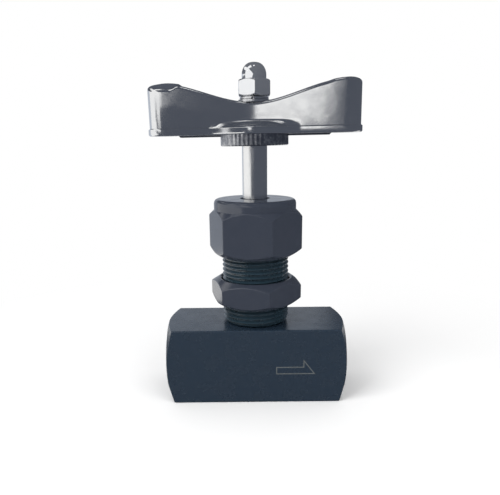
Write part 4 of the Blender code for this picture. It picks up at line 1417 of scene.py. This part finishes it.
@dataclass
class HandleFastening:
    """The flat washer, the split spring washer and the domed cap nut."""

    bore: float = 2.8 * MM
    washer_radius: float = 5.0 * MM
    washer_foot: float = 96.05 * MM
    washer_thickness: float = 0.8 * MM
    washer_edge: float = 0.15 * MM
    spring_radius: float = 4.5 * MM
    spring_foot: float = 97.0 * MM
    spring_thickness: float = 0.6 * MM
    spring_taper: float = 0.03 * MM
    spring_lift: float = 0.05 * MM
    spring_lean: float = 0.06
    split_yaw: float = math.radians(-95.0)
    split: float = math.radians(14.0)
    flats: float = 9.6 * MM
    nut_foot: float = 97.75 * MM
    hex_height: float = 5.1 * MM
    hex_corner: float = 0.3 * MM
    hex_edge: float = 0.18 * MM
    chamfer_height: float = 0.7 * MM
    face_share: float = 0.94
    face_edge: float = 0.15 * MM
    dome_radius: float = 3.8 * MM
    neck: float = 1.2 * MM
    neck_edge: float = 0.12 * MM
    dome_height: float = 3.75 * MM
    dome_fullness: float = 0.8
    hollow: float = 5.2 * MM
    yaw: float = math.radians(32.0)
    dome_steps: ClassVar[int] = 14
    spring_steps: ClassVar[int] = 90

    @property
    def outline(self) -> PolygonOutline:
        """The cap nut's hexagon."""
        return PolygonOutline(6, self.flats, self.hex_corner, self.yaw - math.pi / 2)

    def cap_section(self, angle: float) -> Section:
        """The cap nut's closed section at an angle.

        Args:
            angle: Radians round the axis.

        Returns:
            Points of (radius, height over its foot).
        """
        wall = self.outline.radius(angle)
        face = self.flats / 2 * self.face_share
        rise = self.chamfer_height * (wall - face) / (self.outline.widest - face)
        high = self.hex_height
        dome_foot = high + self.neck
        corners: list[Corner] = [
            (self.bore, 0.0), (face, 0.0), (wall, rise, self.hex_edge),
            (wall, high - rise, self.hex_edge), (face, high, self.face_edge),
            (self.dome_radius, high, self.neck_edge)]
        for step in range(self.dome_steps + 1):
            turn = math.pi / 2 * step / self.dome_steps
            share = 0.0 if step == self.dome_steps else math.cos(turn) ** self.dome_fullness
            corners.append((self.dome_radius * share,
                            dome_foot + self.dome_height * math.sin(turn)))
        corners += [(0.0, self.hollow), (self.bore, self.hollow)]
        return soften(corners)

    def spring(self) -> bmesh.types.BMesh:
        """Make the spring washer: a ring with a slanting split, its ends a little apart.

        Returns:
            The washer.
        """
        high = self.spring_thickness
        corners = ((self.bore, self.spring_taper), (self.spring_radius, 0.0),
                   (self.spring_radius, high), (self.bore, high - self.spring_taper))
        rings = []
        for step in range(self.spring_steps + 1):
            share = step / self.spring_steps
            angle = self.split_yaw + self.split / 2 + (math.tau - self.split) * share
            foot = self.spring_foot + self.spring_lift * (share - 0.5)
            ring = []
            for radius, height in corners:
                turn = angle + self.spring_lean * (height / high - 0.5)
                ring.append((radius * math.cos(turn), radius * math.sin(turn), foot + height))
            rings.append(ring)
        return loft(rings)

    def dress(self) -> None:
        """Build the three pieces and put them in place of their nodes."""
        high = self.washer_thickness
        rim = self.washer_radius
        flat = lathe([(self.bore, 0.0), (rim, 0.0, self.washer_edge),
                      (rim, high, self.washer_edge), (self.bore, high)], facets=72)
        Piece("plain_washer", shift(flat, self.washer_foot)).dress(
            WASHER_STEEL, Body.SPINDLE, "flat_washer")
        Piece("split_washer", self.spring()).dress(
            WASHER_STEEL, Body.SPINDLE, "spring_washer")
        profile = self.outline.angles(flat_steps=8, corner_steps=2)
        cap = shift(spun(self.cap_section, profile), self.nut_foot)
        Piece("domed_nut", cap).dress(CHROME, Body.SPINDLE, "acorn_nut")


@dataclass
class Internals:
    """The hidden pieces, which keep their CAD shapes."""

    finishes: ClassVar[dict[str, Finish]] = {
        "seat_insert": GROUND_STEEL, "bonnet_o_ring": SEAL_RUBBER,
        "bonnet_backup_ring": PACKING_WHITE, "packing_support_ring": TURNED_BRASS,
        "packing_ring_1": PACKING_WHITE, "packing_ring_2": PACKING_WHITE,
        "packing_ring_3": PACKING_WHITE, "packing_header_ring": TURNED_BRASS,
        "gland_follower": TURNED_BRASS, "needle": GROUND_STEEL, "thrust_ball": GROUND_STEEL,
        "needle_retaining_ring": WASHER_STEEL}

    def dress(self) -> None:
        """Give each hidden node its finish."""
        for name, finish in self.finishes.items():
            node = frame["nodes"][name]
            for slot in node.material_slots:
                slot.material = finish.material()
            log.info("%s: CAD node in %s", name, finish.name)


# The studio


@dataclass(frozen=True)
class Sweep:
    """A dark screen: a line swept round the stem's axis, which only reflections see.

    Turns are degrees from the camera's side, rising to the right, and the line's ends are
    (radius, height) in millimetres.
    """

    name: str
    turns: Pair
    first: Pair
    last: Pair
    steps: ClassVar[int] = 64

    def mesh(self) -> bmesh.types.BMesh:
        """Sweep the line.

        Returns:
            The swept surface.
        """
        start, end = (math.radians(turn) for turn in self.turns)
        rows = []
        for step in range(self.steps + 1):
            angle = start + (end - start) * step / self.steps
            rows.append([(radius * MM * math.sin(angle), -radius * MM * math.cos(angle),
                          height * MM) for radius, height in (self.first, self.last)])
        return loft(rows, caps=False, ring=False)


@dataclass(frozen=True)
class Lamp:
    """A square soft lamp that no reflection shows, in metres and watts."""

    name: str
    place: Place
    side: float
    power: float

    def hang(self, aim: Place) -> None:
        """Hang the lamp.

        Args:
            aim: The point that it faces.
        """
        data = bpy.data.lights.new(self.name, 'AREA')
        data.size = self.side
        data.energy = self.power
        item = bpy.data.objects.new(self.name, data)
        item.location = self.place
        way = Vector(aim) - Vector(self.place)
        item.rotation_euler = way.to_track_quat('-Z', 'Y').to_euler()
        item.visible_glossy = False
        bpy.context.scene.collection.objects.link(item)


@dataclass
class Studio:
    """The camera, floor, lamps, dark screens and white surroundings.

    The screens mirror a dark room to the front and right of the valve. Its edge steps to
    the right above the packing nut, with a dark table near the valve and a dark ceiling.
    """

    lens: float = 38.187
    sensor: float = 36.0
    clip: Pair = (0.01, 10.0)
    camera_place: Place = (-1.9 * MM, -173.895 * MM, 85.078 * MM)
    pitch: float = math.radians(15.359)
    roll: float = math.radians(-0.6)
    rise_shift: float = 0.075
    floor_radius: float = 900.0 * MM
    floor_facets: int = 96
    floor_drop: float = 0.02 * MM
    floor_grey: Colour = (0.93, 0.93, 0.93)
    floor_roughness: float = 0.9
    floor_fade: Pair = (60.0 * MM, 170.0 * MM)
    light_share: float = 0.75
    lamps: ClassVar[tuple[Lamp, ...]] = (
        Lamp("key_lamp", (-0.45, -0.35, 0.60), 0.45, 3.6),
        Lamp("fill_lamp", (0.40, -0.50, 0.45), 0.50, 1.5))
    lamp_aim: Place = (0.0, 0.0, 50.0 * MM)
    white: tuple[float, ...] = (1.0, 1.0, 1.0, 1.0)
    dim: Colour = (0.085, 0.095, 0.120)
    pale: Colour = (0.52, 0.56, 0.63)
    sweeps: ClassVar[tuple[Sweep, ...]] = (
        Sweep("low_screen", (-36.0, 125.0), (230.0, -0.01), (230.0, 88.0)),
        Sweep("high_screen", (-10.2, 165.0), (230.0, 88.0), (230.0, 215.0)),
        Sweep("dark_horizon", (-50.0, 165.0), (230.0, 76.0), (230.0, 95.0)),
        Sweep("left_horizon", (-60.0, -38.0), (230.0, 95.0), (230.0, 103.0)),
        Sweep("side_screen", (125.0, 165.0), (230.0, 20.0), (230.0, 88.0)),
        Sweep("dark_rear", (165.0, 270.0), (230.0, 140.0), (230.0, 215.0)),
        Sweep("near_table", (0.0, 360.0), (0.0, -0.01), (110.0, -0.01)),
        Sweep("far_table", (-42.0, 125.0), (110.0, -0.01), (230.0, -0.01)))
    rear_sweep: ClassVar[Sweep] = Sweep(
        "pale_screen", (-195.0, -125.0), (235.0, -0.01), (235.0, 215.0))
    ceiling: tuple[Pair, Pair] = ((-115.0 * MM, -600.0 * MM), (600.0 * MM, 230.0 * MM))
    ceiling_height: float = 215.0 * MM
    lamp_height: float = 214.0 * MM
    glow_corners: tuple[Pair, Pair] = ((-10.0 * MM, -38.0 * MM), (10.0 * MM, -16.0 * MM))
    glow: Colour = (1.5, 1.5, 1.5)
    edge_corners: tuple[Pair, Pair] = ((-130.0 * MM, -60.0 * MM), (-38.0 * MM, 0.0 * MM))
    edge_light: Colour = (1.0, 1.0, 1.0)
    hub_corners: tuple[Place, ...] = (
        (-26.0 * MM, -15.0 * MM, 86.5 * MM), (-9.0 * MM, -27.0 * MM, 86.5 * MM),
        (-9.0 * MM, -27.0 * MM, 94.0 * MM), (-26.0 * MM, -15.0 * MM, 96.0 * MM))
    lobe_corners: tuple[Place, ...] = (
        (-26.0 * MM, -15.0 * MM, 86.5 * MM), (-35.0 * MM, -45.0 * MM, 80.0 * MM),
        (-35.0 * MM, -45.0 * MM, 96.0 * MM), (-26.0 * MM, -15.0 * MM, 96.0 * MM))

    def camera(self) -> None:
        """Set the camera where the photographer's was."""
        data = bpy.data.cameras.new("camera")
        data.sensor_width = self.sensor
        data.lens = self.lens
        data.shift_y = self.rise_shift
        data.clip_start, data.clip_end = self.clip
        item = bpy.data.objects.new("camera", data)
        item.matrix_world = Matrix.Translation(self.camera_place) @ Matrix.Rotation(
            math.pi / 2 - self.pitch, 4, 'X') @ Matrix.Rotation(self.roll, 4, 'Z')
        bpy.context.scene.collection.objects.link(item)
        bpy.context.scene.camera = item

    def floor(self) -> None:
        """Lay a round pale floor that keeps the valve's shadow and fades to white."""
        bm = bmesh.new()
        bmesh.ops.create_circle(bm, cap_ends=True, segments=self.floor_facets,
                                radius=self.floor_radius)
        piece = Piece("floor", shift(bm, -self.floor_drop))
        material, tree = new_material("pale_floor")
        shader = tree.find("Principled BSDF")
        shader.inputs["Base Color"].default_value = (*self.floor_grey, 1.0)
        shader.inputs["Roughness"].default_value = self.floor_roughness
        glow = tree.add("ShaderNodeEmission", {"Color": self.white}, "Emission")
        place = tree.node("ShaderNodeTexCoord").outputs["Object"]
        reach = tree.add("ShaderNodeVectorMath", {0: place}, "Value", operation='LENGTH')
        share = tree.math("MULTIPLY", tree.map_range(reach, self.floor_fade, (0.0, 1.0)),
                          self._seen(tree))
        both = tree.add("ShaderNodeMixShader", {"Fac": share, 1: shader.outputs["BSDF"], 2: glow},
                        "Shader")
        tree.join(both, tree.find("Material Output").inputs["Surface"])
        piece.item.data.materials.append(material)

    @staticmethod
    def _seen(tree: NodeBench) -> bpy.types.NodeSocket:
        """Ask what kind of ray meets the surface.

        Args:
            tree: The bench that holds the nodes.

        Returns:
            1 where the camera, a reflection or a transmission sees it.
        """
        path = tree.node("ShaderNodeLightPath")
        seen = tree.math("MAXIMUM", path.outputs["Is Camera Ray"], path.outputs["Is Glossy Ray"])
        return tree.math("MAXIMUM", seen, path.outputs["Is Transmission Ray"])

    def screens(self) -> None:
        """Stand the screens and the two soft lights round the valve."""
        for sweep in self.sweeps:
            self._screen(sweep.name, sweep.mesh(), self.dim)
        self._screen(self.rear_sweep.name, self.rear_sweep.mesh(), self.pale)
        for name, corners, colour in (
                ("dark_ceiling", self._level(*self.ceiling, self.ceiling_height), self.dim),
                ("lamp_glow", self._level(*self.glow_corners, self.lamp_height), self.glow),
                ("edge_glow", self._level(*self.edge_corners, self.lamp_height), self.edge_light),
                ("hub_screen", self.hub_corners, self.dim),
                ("lobe_screen", self.lobe_corners, self.dim)):
            bm = bmesh.new()
            bm.faces.new([bm.verts.new(corner) for corner in corners])
            self._screen(name, bm, colour)

    @staticmethod
    def _level(near: Pair, far: Pair, height: float) -> tuple[Place, ...]:
        """The corners of a level rectangle between two opposite ones."""
        return ((*near, height), (far[0], near[1], height), (*far, height),
                (near[0], far[1], height))

    @staticmethod
    def _screen(name: str, bm: bmesh.types.BMesh, colour: Colour) -> None:
        """Hang a glowing surface that only reflections see.

        Args:
            name: Its name.
            bm: Its mesh.
            colour: The light that it gives.
        """
        item = Piece(name, bm).item
        for ray in ("camera", "diffuse", "shadow", "transmission"):
            setattr(item, f"visible_{ray}", False)
        material, tree = new_material(name)
        tree.tree.nodes.remove(tree.find("Principled BSDF"))
        glow = tree.add("ShaderNodeEmission", {"Color": (*colour, 1.0)}, "Emission")
        tree.join(glow, tree.find("Material Output").inputs["Surface"])
        item.data.materials.append(material)

    def surroundings(self) -> None:
        """Make the world white where it is seen and softer where it only lights."""
        world = bpy.data.worlds.new("surroundings")
        world.use_nodes = True
        bpy.context.scene.world = world
        tree = NodeBench(world.node_tree)
        back = tree.find("Background")
        back.inputs["Color"].default_value = self.white
        tree.join(tree.map_range(self._seen(tree), (0.0, 1.0), (self.light_share, 1.0)),
                  back.inputs["Strength"])

    def build(self) -> None:
        """Set up the whole studio."""
        self.camera()
        self.floor()
        self.screens()
        for lamp in self.lamps:
            lamp.hang(self.lamp_aim)
        self.surroundings()
        bpy.context.scene.view_settings.view_transform = 'Standard'


def main() -> None:
    """Build the valve's pieces in the order in which it goes together, then the studio."""
    logging.basicConfig(level=logging.INFO, format="%(message)s")
    for part in (BarBody(), FlowMark(), Bonnet(), LockNut(), PackingNut(), Stem(), Handle(),
                 HandleFastening(), Internals()):
        part.dress()
    Studio().build()


if __name__ == "__main__":
    main()
